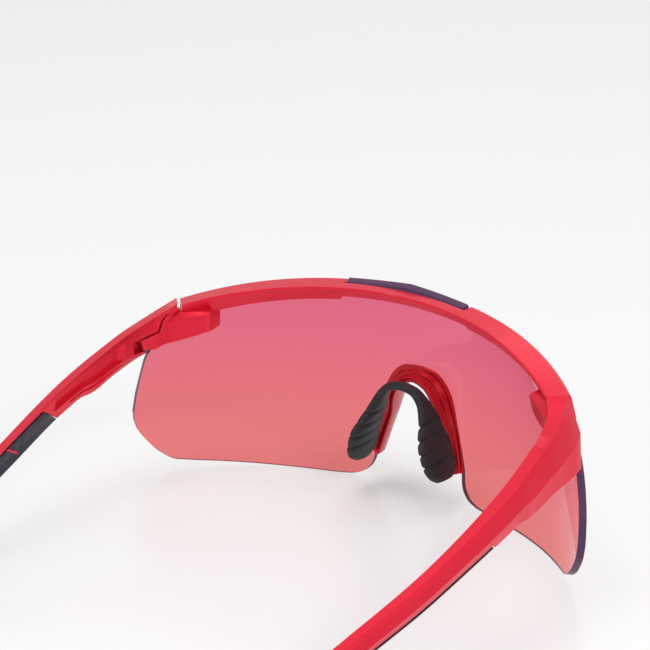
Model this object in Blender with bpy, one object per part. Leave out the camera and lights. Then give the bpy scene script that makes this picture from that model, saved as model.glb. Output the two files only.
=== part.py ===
"""Half-rim wraparound sport sunglasses, open and standing on a flat surface.

Metres, +Z up. +X is the wearer's left, -Y the front of the lens, +Y the ends
of the arms. The origin is the middle of the underside of the whole object.
Every shape on the left side is made once and mirrored to the right.
"""
from bisect import bisect_right
from math import cos, pi, radians, sin, sqrt

import bmesh
import bpy
from mathutils import Matrix, Vector

MM = 0.001

# Driving dimensions
LENS_RADIUS = 84.8 * MM        # plan radius of the lens's inner surface
LENS_MIDDLE = 19.4 * MM        # height where the lens stands furthest forward
LENS_ROUNDING = 0.905          # 1 is a sphere, 0 a plain cylinder
LENS_THICKNESS = 1.8 * MM
FRONT_TO_ORIGIN = 71.2 * MM    # from the lens's inner face to the origin
GAP = 0.3 * MM                 # between pieces that touch

BROW_TOP = 55.4 * MM           # brow's highest line, at the middle
BROW_FRONT = -3.1 * MM         # depths are measured back from the lens's inner face
BROW_BACK = 4.0 * MM
BROW_HEIGHT = 5.0 * MM
BROW_END = 44.9                # half-angle of the brow, in degrees
LENS_TAB_END = 13.2            # half-angle of the raised middle of the lens
LIP_NOTCH_END = 14.6           # half-angle of the cut-away in the inner lip

HINGE = Vector((61.3, 36.9, 37.0)) * MM
HINGE_TILT = radians(18.0)     # the pin is square to the sloping arm
PIN_RADIUS = 0.6 * MM
PIN_START, PIN_FINISH = -3.2 * MM, 1.9 * MM
TONGUE_THICKNESS = 3.0 * MM
TONGUE_ROUND = 1.75 * MM       # lets the arm turn past the tongue's back corner
SLOT_DEPTH = 3.6 * MM          # outwards from the arm's inner face

POCKET_FRONT = 43.6 * MM
POCKET_BACK = 68.0 * MM
GROOVE_BACK = 62.0 * MM
GRIP_FRONT = 74.0 * MM
CORE_END = 140.6 * MM
ARM_END = 144.0 * MM
GRIP_THICKNESS = 1.5 * MM

RED = (0.66, 0.012, 0.035)
DARK_RED = (0.52, 0.008, 0.022)


def along(knots, where):
    """Read a smooth curve through (place, value) knots."""
    places = [knot[0] for knot in knots]
    values = [knot[1] for knot in knots]
    where = min(max(where, places[0]), places[-1])
    k = min(bisect_right(places, where), len(knots) - 1) - 1
    span = places[k + 1] - places[k]
    t = (where - places[k]) / span

    def slope(i):
        if i in (0, len(knots) - 1):
            j = min(i, len(knots) - 2)
            return (values[j + 1] - values[j]) / (places[j + 1] - places[j])
        before = (values[i] - values[i - 1]) / (places[i] - places[i - 1])
        after = (values[i + 1] - values[i]) / (places[i + 1] - places[i])
        if before * after <= 0.0:
            return 0.0
        return 2.0 * before * after / (before + after)

    rise = values[k + 1] - values[k]
    start, end = slope(k) * span, slope(k + 1) * span
    return values[k] + t * (start + t * (3 * rise - 2 * start - end + t * (start + end - 2 * rise)))


def shell(angle, height, depth):
    """A point behind the lens's inner face by depth, at an angle in degrees."""
    off_middle = height - LENS_MIDDLE
    radius = sqrt(LENS_RADIUS ** 2 - LENS_ROUNDING * off_middle ** 2) - depth
    turn = radians(angle)
    return Vector((radius * sin(turn), LENS_RADIUS - radius * cos(turn), height))


def plastic(name, colour, roughness, metallic=0.0, alpha=1.0):
    material = bpy.data.materials.new(name)
    material.use_nodes = True
    shader = material.node_tree.nodes["Principled BSDF"]
    shader.inputs["Base Color"].default_value = (*colour, 1.0)
    shader.inputs["Roughness"].default_value = roughness
    shader.inputs["Metallic"].default_value = metallic
    shader.inputs["Alpha"].default_value = alpha
    material.diffuse_color = (*colour, alpha)
    return material


def add_object(name, bm, material, side=1):
    """Close a bmesh into an object, mirrored when side is -1, shaded smooth."""
    bmesh.ops.translate(bm, verts=bm.verts, vec=(0.0, -FRONT_TO_ORIGIN, 0.0))
    bmesh.ops.scale(bm, verts=bm.verts, vec=(side, 1.0, 1.0))
    bmesh.ops.recalc_face_normals(bm, faces=bm.faces)
    mesh = bpy.data.meshes.new(name)
    bm.to_mesh(mesh)
    bm.free()
    mesh.shade_smooth()
    mesh.set_sharp_from_angle(angle=radians(35.0))
    if material:
        mesh.materials.append(material)
    obj = bpy.data.objects.new(name, mesh)
    bpy.context.scene.collection.objects.link(obj)
    return obj


def skin(rings):
    """A closed body over a row of rings that have the same number of points."""
    bm = bmesh.new()
    count = len(rings[0])
    bmesh.ops.create_grid(bm, x_segments=count, y_segments=len(rings) - 1, size=1.0)
    strip = bm.faces.layers.int.new("strip")
    for face in bm.faces:
        face[strip] = int((face.calc_center_median().x + 1.0) / 2.0 * count)
    for vert in bm.verts:
        column = round((vert.co.x + 1.0) / 2.0 * count) % count
        row = round((vert.co.y + 1.0) / 2.0 * (len(rings) - 1))
        vert.co = rings[row][column]
    bmesh.ops.remove_doubles(bm, verts=bm.verts, dist=0.001 * MM)
    bmesh.ops.holes_fill(bm, edges=bm.edges, sides=0)
    return bm


def prism(outline, push):
    """A closed body from a flat outline pushed along a vector."""
    bm = bmesh.new()
    face = bm.faces.new([bm.verts.new(point) for point in outline])
    made = bmesh.ops.extrude_face_region(bm, geom=[face], use_keep_orig=True)
    moved = [item for item in made["geom"] if isinstance(item, bmesh.types.BMVert)]
    bmesh.ops.translate(bm, verts=moved, vec=push)
    return bm


def combine(target, tool, operation):
    """Join or cut the target with a tool that stays out of the render."""
    tool.hide_render = True
    tool.display_type = "WIRE"
    step = target.modifiers.new(tool.name, "BOOLEAN")
    step.object = tool
    step.operation = operation
    step.solver = "EXACT"


# Lens: heights of the lower and upper edges, in millimetres against degrees

LENS_LOWER = [
    (0.0, 31.9), (2.85, 30.5), (4.65, 27.4), (5.7, 23.9), (6.5, 20.1), (7.45, 16.2),
    (8.3, 12.2), (9.15, 8.2), (9.4, 6.0), (10.0, 3.8), (11.7, 1.6), (14.0, 0.7), (18.0, 0.4),
    (24.5, 0.5), (37.4, 1.2), (46.0, 2.1), (49.2, 4.5), (51.5, 7.9), (52.9, 10.8), (53.4, 13.4),
]
LENS_UPPER = [(0.0, 52.8), (30.0, 49.2), (42.0, 44.6), (44.2, 42.2), (48.0, 36.6),
              (50.9, 31.2), (52.2, 24.5), (53.1, 18.5), (53.4, 15.4)]
LENS_TAB_HEIGHT = 3.2 * MM


def lens_height(angle, share):
    lower = along(LENS_LOWER, abs(angle)) * MM
    upper = along(LENS_UPPER, abs(angle)) * MM
    if abs(angle) < LENS_TAB_END:
        upper += LENS_TAB_HEIGHT
    return lower + (upper - lower) * share


def lens_columns():
    """Angles of the columns: closer together wherever the outline turns."""
    stops = [(0.0, 4.1, 4), (4.1, 10.2, 8), (10.2, 13.15, 2), (13.25, 18.0, 2),
             (18.0, 42.0, 8), (42.0, 53.4, 9)]
    half = [start + (end - start) * k / steps for start, end, steps in stops for k in range(steps)]
    half += [13.15, 53.4]
    half.sort()
    return [-angle for angle in reversed(half[1:])] + half


def build_lens(material):
    columns = lens_columns()
    rows = 10
    bm = bmesh.new()
    bmesh.ops.create_grid(bm, x_segments=len(columns) - 1, y_segments=rows, size=1.0)
    for vert in bm.verts:
        angle = columns[round((vert.co.x + 1.0) / 2.0 * (len(columns) - 1))]
        vert.co = shell(angle, lens_height(angle, (vert.co.y + 1.0) / 2.0), 0.0)
    bmesh.ops.recalc_face_normals(bm, faces=bm.faces)
    middle = max(bm.faces, key=lambda face: face.calc_center_median().z)
    if middle.normal.y < 0.0:
        bmesh.ops.reverse_faces(bm, faces=bm.faces)
    bmesh.ops.solidify(bm, geom=bm.faces[:], thickness=LENS_THICKNESS)
    return add_object("lens", bm, material)


# Brow frame

def brow_top(angle):
    turn = radians(angle)
    return BROW_TOP - (12.1 * turn ** 2 + 3.9 * turn ** 4) * MM


def brow_ring(angle):
    """Channel section: front wall, top, back body and the groove for the lens."""
    turn = radians(abs(angle))
    top = brow_top(angle)
    inner_top = top - (0.8 - 1.2 * turn ** 2) * MM
    back = BROW_BACK - 0.8 * MM * max(0.0, turn - 0.55) / 0.23
    lip = (1.3 + 1.4 * turn) * MM
    lower = top - BROW_HEIGHT
    front_lower = top - (4.4 + 2.2 * turn) * MM
    groove_front = -LENS_THICKNESS - GAP
    groove_roof = top - 1.4 * MM
    return [
        shell(angle, front_lower, BROW_FRONT),
        shell(angle, top - 0.6 * MM, BROW_FRONT),
        shell(angle, top, BROW_FRONT + 0.7 * MM),
        shell(angle, inner_top, back - 0.3 * MM),
        shell(angle, inner_top - 0.5 * MM, back),
        shell(angle, lower, lip),
        shell(angle, lower, GAP),
        shell(angle, groove_roof, GAP),
        shell(angle, groove_roof, groove_front),
        shell(angle, front_lower, groove_front),
    ]


def spread(start, end, steps):
    return [start + (end - start) * k / steps for k in range(steps + 1)]


def slab(half_angle, steps, low, high, front, back):
    """A block that follows the lens between two heights and two depths."""
    rings = []
    for angle in spread(-half_angle, half_angle, steps):
        base = brow_top(angle)
        corners = ((low, front), (high, front), (high, back), (low, back))
        rings.append([shell(angle, base + height, depth) for height, depth in corners])
    return skin(rings)


# The end block stands behind the lens: angle, depth, upper and lower heights in millimetres
BLOCK_INNER = [
    (39.7, 5.5, 44.3, 39.2), (42.0, 5.4, 43.4, 38.1), (45.2, 4.8, 42.6, 36.6), (48.3, 3.9, 41.0, 35.3),
]
BLOCK_OUTER = [(37.8, 45.2), (41.0, 45.0), (44.0, 44.6), (46.4, 43.0)]
FACE_POINT = Vector((58.7, 34.0, 0.0)) * MM     # the arm's inner face by the hinge
FACE_HEADING = radians(24.0)
FACE_OUT = Vector((cos(FACE_HEADING), -sin(FACE_HEADING), 0.0))

# Side outline of the lobe and tongue: distance back and height in millimetres
LOBE_TOP = [(29.6, 44.8), (31.0, 44.3), (32.3, 43.4), (33.1, 42.3), (33.6, 41.0), (33.9, 39.7), (34.5, 39.2)]
LOBE = [(28.6, 44.9), *LOBE_TOP, (38.9, 37.9), (38.1, 35.1), (36.0, 35.3), (35.4, 34.9), (28.6, 37.6)]
SLOT = [(20.0, 45.4), (29.9, 45.2), (31.3, 44.7), (32.7, 43.8), (33.6, 42.6), (34.1, 41.2), (34.4, 39.9),
        (34.9, 39.6), (41.2, 37.8), (40.9, 34.4), (36.8, 34.4), (36.6, 30.0), (20.0, 30.0)]


def on_face(outline, inset):
    """Lay a side outline on the arm's inner face, moved outwards by inset."""
    points = []
    for back, height in outline:
        away = back * MM - FACE_POINT.y
        across = FACE_POINT.x + away * sin(FACE_HEADING) / cos(FACE_HEADING)
        points.append(Vector((across, back * MM, height * MM)) + FACE_OUT * inset)
    return points


def end_block(side):
    rings = []
    for inner, outer in zip(BLOCK_INNER, BLOCK_OUTER):
        angle, depth, upper, lower = inner
        outer_angle, roof = outer
        thick = GAP if outer_angle < 46.0 else 1.6 * MM
        rings.append([
            shell(angle, upper * MM, depth * MM),
            shell(angle, lower * MM, depth * MM),
            shell(outer_angle, (lower + 0.2) * MM, thick),
            shell(outer_angle, roof * MM, thick),
            shell(angle, (roof - 0.1) * MM, (depth - 2.0) * MM),
        ])
    return add_object("end_block_shape", skin(rings), None, side)


def tongue(side):
    """The lobe and tongue, rounded at the tongue's outer back corner."""
    bm = prism(on_face(LOBE, 0.0), FACE_OUT * TONGUE_THICKNESS)
    outer = (FACE_POINT + FACE_OUT * (TONGUE_THICKNESS - GAP)).dot(FACE_OUT)
    outer_verts = [vert for vert in bm.verts if vert.co.dot(FACE_OUT) > outer]
    outer_verts.sort(key=lambda vert: vert.co.y)
    corner = [edge for edge in bm.edges if set(edge.verts) == set(outer_verts[-2:])]
    bmesh.ops.bevel(
        bm, geom=corner, offset=TONGUE_ROUND, offset_type="OFFSET", segments=6, profile=0.5, affect="EDGES"
    )
    return add_object("tongue_shape", bm, None, side)


def pin_body(radius, start, end, side, name, material):
    """A round bar along the hinge axis, from start to end past the hinge point."""
    bm = bmesh.new()
    place = Matrix.Translation(HINGE) @ Matrix.Rotation(-HINGE_TILT, 4, "X")
    place = place @ Matrix.Translation((0.0, 0.0, (start + end) / 2.0))
    bmesh.ops.create_cone(
        bm, cap_ends=True, segments=20, radius1=radius, radius2=radius, depth=end - start, matrix=place
    )
    return add_object(name, bm, material, side)


def build_brow(material):
    angles = spread(-BROW_END, BROW_END, 44)
    brow = add_object("brow_frame", skin([brow_ring(angle) for angle in angles]), material)
    tab = slab(LENS_TAB_END + 0.4, 14, -9.0 * MM, 2.0 * MM, -5.0 * MM, GAP)
    combine(brow, add_object("tab_cut", tab, None), "DIFFERENCE")
    notch = slab(LIP_NOTCH_END, 14, -BROW_HEIGHT - 2.0 * MM, -BROW_HEIGHT + 1.3 * MM, -1.0 * MM, 6.0 * MM)
    combine(brow, add_object("lip_cut", notch, None), "DIFFERENCE")
    for side in (1, -1):
        combine(brow, end_block(side), "UNION")
        combine(brow, tongue(side), "UNION")
        hole = pin_body(PIN_RADIUS + GAP, -8.0 * MM, 8.0 * MM, side, "tongue_hole", None)
        combine(brow, hole, "DIFFERENCE")
    return brow


# Arms: values in millimetres or degrees against distance back

ARM_OUT = [
    (26.2, 59.8), (33.5, 63.1), (44.0, 65.5), (62.0, 66.75), (86.0, 64.9), (112.0, 60.4), (146.0, 53.2),
]
ARM_TOP = [
    (26.2, 46.6), (33.5, 43.3), (44.0, 39.6), (62.0, 33.2), (86.0, 24.5), (112.0, 15.3), (126.0, 10.2),
    (146.0, 4.8),
]
ARM_UNDER = [
    (26.2, 34.2), (33.5, 32.1), (44.0, 29.8), (55.0, 27.15), (56.5, 27.2), (62.0, 25.9), (86.0, 18.1),
    (112.0, 9.6), (126.0, 4.2), (137.0, 0.0), (146.0, 0.0),
]
ARM_HEADING = [(26.2, 45.0), (30.0, 28.0), (33.5, 20.0), (44.0, 9.0), (62.0, 0.0), (86.0, -6.0),
               (112.0, -11.0), (146.0, -13.0)]
ARM_WIDTH = [(26.2, 5.8), (33.5, 4.3), (44.0, 3.9), (62.0, 3.7), (86.0, 2.9), (112.0, 2.8), (146.0, 3.0)]
ARM_FLARE = [(26.2, 4.5), (33.5, 4.0), (44.0, 1.7), (62.0, 0.2), (86.0, -0.3), (146.0, -0.4)]
UNDER_WIDTH = 2.2


def arm_point(station, slant, drop, offset, lift=0.0):
    """A point of the arm's section: offset is outwards from the top outer edge."""
    back = station / MM + slant * drop
    heading = radians(along(ARM_HEADING, back))
    top = along(ARM_TOP, back)
    under = along(ARM_UNDER, back)
    edge = Vector((along(ARM_OUT, back), back, top + (under - top) * drop + lift))
    return (edge + Vector((cos(heading), -sin(heading), 0.0)) * offset) * MM


def arm_ring(station, slant, recessed):
    back = station / MM + slant
    width = along(ARM_WIDTH, station / MM)
    flare = along(ARM_FLARE, back)
    if recessed:
        seat = [
            (0.17, GRIP_THICKNESS / MM - width + 0.15),
            (0.84, flare - 0.8),
            (0.86, flare - 0.5),
            (0.87, flare + 0.05),
        ]
    else:
        seat = [(0.2, 0.15 - width), (0.62, 0.6 - width), (1.0, flare - UNDER_WIDTH), (1.0, flare)]
    corners = [
        (0.0, -width, 0.5), (0.13, 0.1 - width, 0.0), *[(drop, offset, 0.0) for drop, offset in seat],
        (0.5, 0.5 * flare + 0.9, 0.0), (0.1, 0.1, 0.0), (0.0, -0.8, 0.2),
    ]
    return [arm_point(station, slant, *corner) for corner in corners]


ARM_STATIONS = [
    (26.2, 7.3), (27.8, 6.7), (29.5, 6.0), (31.5, 5.1), (33.5, 4.2), (35.5, 3.2), (37.5, 2.2), (41.0, 0.3),
    (43.6, -1.3), (50.0, -1.5), (57.0, -2.5), (64.0, -4.5), (71.0, -6.5), (74.0, -7.2),
]
GRIP_STATIONS = [
    (80.0, -4.5), (86.0, -2.0), (92.0, 0.0), (99.0, 0.0), (106.0, 0.0), (113.0, 0.0), (120.0, 0.0),
    (126.0, 0.0), (132.0, 0.0), (137.0, 0.0),
]
SEAT_STEP = 0.02 * MM


def sink(bm, strip, first, last, rim, depth):
    """Sink a pocket with sloping walls into one strip of an arm's faces."""
    tag = bm.faces.layers.int["strip"]
    chosen = [face for face in bm.faces if face[tag] == strip and first < middle_back(face) < last]
    bmesh.ops.inset_region(bm, faces=chosen, thickness=rim, depth=-depth, use_even_offset=True)


def middle_back(face):
    return face.calc_center_median().y


def build_arm(side, material):
    rings = [arm_ring(station * MM, slant, False) for station, slant in ARM_STATIONS]
    rings += [arm_ring(GRIP_FRONT + SEAT_STEP, -7.2, True)]
    rings += [arm_ring(station * MM, slant, True) for station, slant in GRIP_STATIONS]
    rings += [arm_ring(CORE_END, 0.0, True)]
    bm = skin(rings)
    bmesh.ops.recalc_face_normals(bm, faces=bm.faces)
    sink(bm, 2, POCKET_FRONT, POCKET_BACK, 0.8 * MM, 0.9 * MM)
    sink(bm, 3, POCKET_FRONT, GROOVE_BACK, 0.7 * MM, 0.5 * MM)
    name = "left_arm" if side == 1 else "right_arm"
    arm = add_object(name, bm, material, side)
    slot = prism(on_face(SLOT, -8.0 * MM), FACE_OUT * (8.0 * MM + SLOT_DEPTH))
    combine(arm, add_object("slot_cut", slot, None, side), "DIFFERENCE")
    hole = pin_body(PIN_RADIUS + GAP, -8.0 * MM, PIN_FINISH + GAP, side, "pin_hole", None)
    combine(arm, hole, "DIFFERENCE")
    return arm


def grip_ring(station, slant, whole=False, shrink=0.0):
    """Rubber section: a J round the inner side and underside, or the whole tip."""
    back = station / MM + slant
    width = along(ARM_WIDTH, station / MM)
    flare = along(ARM_FLARE, back)
    inner = [(0.18, 0.05 - width), (0.4, 0.1 - width), (0.66, 0.5 - width),
             (1.0, flare - UNDER_WIDTH), (1.0, flare - 0.1)]
    if whole:
        inner[0] = (0.08, -width)
        outer = [(0.6, 0.5 * flare + 0.8), (0.2, 0.4), (0.0, -0.4), (0.0, 0.5 - width)]
    else:
        outer = [(0.925, flare + 0.1), (0.925, flare - 0.6), (0.89, flare - 1.1),
                 (0.2, GRIP_THICKNESS / MM - width - 0.2)]
    points = [arm_point(station, slant, drop, offset) for drop, offset in inner + outer]
    centre = sum(points, Vector()) / len(points)
    return [point.lerp(centre, shrink) for point in points]


def build_grip(side, material):
    seat_front = GRIP_FRONT + SEAT_STEP + GAP
    tip_front = CORE_END + GAP
    rings = [grip_ring(seat_front, -7.2)]
    rings += [grip_ring(station * MM, slant) for station, slant in GRIP_STATIONS]
    rings += [grip_ring(tip_front, 0.0), grip_ring(tip_front + SEAT_STEP, 0.0, True)]
    rings += [grip_ring(ARM_END - 1.2 * MM, 0.0, True), grip_ring(ARM_END, 0.0, True, 0.3)]
    name = "left_arm_grip" if side == 1 else "right_arm_grip"
    return add_object(name, skin(rings), material, side)


# Nose clip and pad: half-paths from the foot to the top of the arch, in millimetres

CLIP_PATH = [
    (11.9, 7.6), (10.7, 11.6), (9.5, 15.6), (8.1, 19.6), (6.9, 23.3), (5.5, 26.6), (3.3, 29.2), (0.0, 30.3),
]
CLIP_SECTION = [(0.0, -1.9), (1.2, -1.9), (1.2, 0.3), (4.3, 0.3), (4.3, 1.4), (3.1, 1.5),
                (2.6, 2.6), (1.8, 2.7), (1.4, 4.4), (0.0, 4.4)]
# Shares of the section's outward reach and backward depth, against height: the legs are slimmer
CLIP_REACH = [(7.6, 0.55), (20.0, 0.8), (27.0, 1.05), (29.2, 1.05), (30.3, 0.8)]
CLIP_DEPTH = [(7.6, 0.4), (18.0, 0.45), (26.0, 1.0), (30.3, 1.0)]
CLIP_WEB, CLIP_SEAT = 1.2, 0.3     # kept whole: the web's thickness and the lens's inner face
PAD_PATH = [  # across, back, height, half depth, half thickness
    (0.0, 9.1, 30.5, 1.6, 1.1), (3.4, 9.1, 29.9, 1.7, 1.1), (6.0, 9.0, 27.6, 2.2, 1.2),
    (7.8, 8.9, 24.0, 3.8, 1.4), (9.4, 9.7, 20.0, 5.3, 1.6), (10.7, 10.0, 16.8, 6.2, 1.7),
    (11.8, 9.6, 13.0, 6.0, 1.6), (12.6, 9.0, 10.0, 4.8, 1.3), (12.9, 8.6, 8.4, 2.6, 0.9),
]


def mirrored(half):
    """A whole path from a half-path that ends at the middle."""
    return half + [(-point[0], *point[1:]) for point in reversed(half[:-1])]


def read_path(path, steps):
    """Smooth points along a path."""
    columns = [[(k, point[j]) for k, point in enumerate(path)] for j in range(len(path[0]))]
    points = [[along(column, k) for column in columns] for k in spread(0.0, len(path) - 1.0, steps)]
    return points


def turned_normals(points, height_index):
    """Normals of a path in the X-Z plane, pointing away from the nose."""
    normals = []
    for k in range(len(points)):
        before, after = points[max(k - 1, 0)], points[min(k + 1, len(points) - 1)]
        run = after[0] - before[0]
        rise = after[height_index] - before[height_index]
        normals.append(Vector((rise, 0.0, -run)).normalized())
    return normals


def build_clip(material):
    points = read_path(mirrored(CLIP_PATH), 28)
    normals = turned_normals(points, 1)
    rings = []
    for (across, height), normal in zip(points, normals):
        ring = []
        for outward, depth in CLIP_SECTION:
            if outward > CLIP_WEB:
                outward = CLIP_WEB + (outward - CLIP_WEB) * along(CLIP_REACH, height)
            if depth > CLIP_SEAT:
                depth = CLIP_SEAT + (depth - CLIP_SEAT) * along(CLIP_DEPTH, height)
            spot = Vector((across, 0.0, height)) + normal * outward
            angle = spot.x * MM / LENS_RADIUS * 180.0 / pi
            ring.append(shell(angle, spot.z * MM, depth * MM))
        rings.append(ring)
    return add_object("nose_clip", skin(rings), material)


def build_pad(material):
    half = PAD_PATH[::-1]
    points = read_path(mirrored(half), 32)
    normals = turned_normals(points, 2)
    rings = []
    for (across, back, height, deep, thick), normal in zip(points, normals):
        centre = Vector((across, back, height)) * MM
        ring = []
        for k in range(12):
            turn = 2.0 * pi * k / 12
            reach = Vector((0.0, deep * cos(turn), 0.0)) + normal * (thick * sin(turn))
            ring.append(centre + reach * MM)
        rings.append(ring)
    return add_object("nose_pad", skin(rings), material)


def clear_scene():
    for obj in list(bpy.data.objects):
        bpy.data.objects.remove(obj, do_unlink=True)


def build():
    clear_scene()
    red = plastic("satin_red", RED, 0.32)
    inner_red = plastic("gloss_red", DARK_RED, 0.2)
    tint = plastic("rose_tint", (0.86, 0.22, 0.26), 0.05, alpha=0.5)
    rubber = plastic("black_rubber", (0.018, 0.018, 0.022), 0.6)
    navy = plastic("navy_rubber", (0.03, 0.028, 0.05), 0.55)
    steel = plastic("steel", (0.5, 0.5, 0.52), 0.3, metallic=1.0)
    build_brow(red)
    build_lens(tint)
    build_clip(inner_red)
    build_pad(rubber)
    for side, name in ((1, "left"), (-1, "right")):
        build_arm(side, red)
        build_grip(side, navy)
        pin_body(PIN_RADIUS, PIN_START, PIN_FINISH, side, f"{name}_hinge_pin", steel)


build()
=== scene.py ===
"""Half-rim wraparound sport sunglasses, dressed for a studio picture.

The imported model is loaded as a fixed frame. Each sub-assembly below rebuilds its own piece of
the glasses in the same place with a finer surface, dresses it and sets it on its moving body.
Sizes are millimetres, turned into metres where points are made. Angles are degrees.
"""
import logging
from bisect import bisect_right
from dataclasses import dataclass
from enum import Enum
from math import cos, degrees, exp, pi, radians, sin, sqrt
from typing import Iterable, Sequence

import bmesh
import bpy
from mathutils import Matrix, Vector


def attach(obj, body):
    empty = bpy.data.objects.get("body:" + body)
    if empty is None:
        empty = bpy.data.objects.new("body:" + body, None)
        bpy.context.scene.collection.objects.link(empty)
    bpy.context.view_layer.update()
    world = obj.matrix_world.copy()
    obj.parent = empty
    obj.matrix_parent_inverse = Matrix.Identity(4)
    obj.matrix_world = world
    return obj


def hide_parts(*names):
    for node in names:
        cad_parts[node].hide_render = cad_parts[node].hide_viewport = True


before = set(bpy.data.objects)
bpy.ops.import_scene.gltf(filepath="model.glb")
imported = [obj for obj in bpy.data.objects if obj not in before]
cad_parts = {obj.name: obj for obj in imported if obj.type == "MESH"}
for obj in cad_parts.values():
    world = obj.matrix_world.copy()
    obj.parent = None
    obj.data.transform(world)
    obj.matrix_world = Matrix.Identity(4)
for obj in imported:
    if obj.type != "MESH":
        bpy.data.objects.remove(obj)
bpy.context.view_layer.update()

LOG = logging.getLogger("sunglasses")
MM = 0.001
SEAM = 0.001 * MM     # points this close on a seam are one point
STRAY = 0.004 * MM    # and this close after a cut

Knots = tuple[tuple[float, float], ...]
Ring = list[Vector]
Colour = tuple[float, float, float]
Place = tuple[float, float]


class Side(Enum):
    """The wearer's left or right; the value mirrors the left side's shape."""

    LEFT = 1
    RIGHT = -1

    @property
    def word(self) -> str:
        """The side's name as it starts a node's name."""
        return self.name.lower()

    @property
    def body(self) -> str:
        """The moving body that this side's arm belongs to."""
        return f"{self.word}_temple"


@dataclass(frozen=True)
class SmoothCurve:
    """A curve through (place, value) knots that never overshoots them."""

    knots: Knots

    def slope(self, k: int) -> float:
        """Give the curve's slope at a knot.

        Args:
            k: The knot's number.

        Returns:
            The slope, 0 where the curve turns back.
        """
        last = len(self.knots) - 1
        if k in (0, last):
            k = min(k, last - 1)
            (x0, y0), (x1, y1) = self.knots[k], self.knots[k + 1]
            return (y1 - y0) / (x1 - x0)
        (x0, y0), (x1, y1), (x2, y2) = self.knots[k - 1], self.knots[k], self.knots[k + 1]
        before, after = (y1 - y0) / (x1 - x0), (y2 - y1) / (x2 - x1)
        if before * after <= 0.0:
            return 0.0
        return 2.0 * before * after / (before + after)

    def at(self, where: float) -> float:
        """Read the curve.

        Args:
            where: A place, held within the first and last knots.

        Returns:
            The value there.
        """
        places = [knot[0] for knot in self.knots]
        where = min(max(where, places[0]), places[-1])
        k = min(bisect_right(places, where), len(places) - 1) - 1
        (x0, y0), (x1, y1) = self.knots[k], self.knots[k + 1]
        span, rise = x1 - x0, y1 - y0
        t = (where - x0) / span
        start, end = self.slope(k) * span, self.slope(k + 1) * span
        return y0 + t * (start + t * (3 * rise - 2 * start - end + t * (start + end - 2 * rise)))


@dataclass(frozen=True)
class LensForm:
    """The curved sheet that the lens, brow and nose clip all follow."""

    radius: float = 84.8
    middle: float = 19.4
    rounding: float = 0.905
    forward: float = 71.2
    thickness: float = 1.8

    def point(self, angle: float, height: float, depth: float) -> Vector:
        """Place a point against the sheet.

        Args:
            angle: Turn away from the middle of the glasses.
            height: Height above the surface that the glasses stand on.
            depth: How far behind the lens's inner face, in front of it when negative.

        Returns:
            The point, in metres.
        """
        plan = sqrt(self.radius ** 2 - self.rounding * (height - self.middle) ** 2) - depth
        turn = radians(angle)
        return Vector((plan * sin(turn), self.radius - plan * cos(turn) - self.forward, height)) * MM


FORM = LensForm()


def spread(start: float, end: float, steps: int) -> list[float]:
    """Give evenly spaced values, both ends included.

    Args:
        start: First value.
        end: Last value.
        steps: Number of equal steps.

    Returns:
        The steps + 1 values.
    """
    return [start + (end - start) * k / steps for k in range(steps + 1)]


def fraction(value: float) -> float:
    """Hold a value between 0 and 1."""
    return min(1.0, max(0.0, value))


def read_rows(table: Sequence[Sequence[float]], steps: int) -> list[list[float]]:
    """Read a table of rows smoothly, at even steps from its first row to its last.

    Args:
        table: Rows of numbers.
        steps: Number of steps.

    Returns:
        The steps + 1 rows.
    """
    columns = [
        SmoothCurve(tuple((float(k), value) for k, value in enumerate(column))) for column in zip(*table)
    ]
    return [[curve.at(k) for curve in columns] for k in spread(0.0, len(table) - 1.0, steps)]


def round_edges(bm: bmesh.types.BMesh, edges: Sequence[bmesh.types.BMEdge], width: float, segments: int,
                held: bool = True) -> list[bmesh.types.BMFace]:
    """Round edges.

    Args:
        bm: The bmesh that has the edges.
        edges: The edges.
        width: Width of the rounding.
        segments: Faces across it.
        held: Whether the rounding stops short of its neighbours.

    Returns:
        The rounding's faces.
    """
    made = bmesh.ops.bevel(
        bm, geom=edges, offset=width * MM, offset_type="OFFSET", segments=segments, profile=0.5,
        affect="EDGES", material=-1, clamp_overlap=held,
    )
    return made["faces"]


def skin(rings: Sequence[Ring]) -> bmesh.types.BMesh:
    """Wrap a grid round a row of section rings and close both ends.

    Args:
        rings: Rings with the same number of points each.

    Returns:
        A closed bmesh whose faces carry their column in the layer "strip", and whose
        vertices carry theirs in "column".
    """
    bm = bmesh.new()
    count, last = len(rings[0]), len(rings) - 1
    bmesh.ops.create_grid(bm, x_segments=count, y_segments=last, size=1.0)
    strip = bm.faces.layers.int.new("strip")
    column = bm.verts.layers.int.new("column")
    for face in bm.faces:
        face[strip] = int((face.calc_center_median().x + 1.0) / 2.0 * count)
    for vert in bm.verts:
        vert[column] = round((vert.co.x + 1.0) / 2.0 * count) % count
        vert.co = rings[round((vert.co.y + 1.0) / 2.0 * last)][vert[column]]
    bmesh.ops.remove_doubles(bm, verts=bm.verts, dist=SEAM)
    bmesh.ops.holes_fill(bm, edges=bm.edges, sides=0)
    bmesh.ops.recalc_face_normals(bm, faces=bm.faces)
    return bm


def round_columns(bm: bmesh.types.BMesh, columns: Iterable[int], width: float, segments: int = 3) -> None:
    """Round the long edges of a skin.

    Args:
        bm: A bmesh from skin().
        columns: Columns whose edges are rounded.
        width: Width of the rounding.
        segments: Faces across the rounding.
    """
    column = bm.verts.layers.int["column"]
    strip = bm.faces.layers.int["strip"]
    wanted = set(columns)
    edges = [
        edge for edge in bm.edges
        if edge.verts[0][column] == edge.verts[1][column] and edge.verts[0][column] in wanted
    ]
    for face in round_edges(bm, edges, width, segments):
        face[strip] = -1


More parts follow.
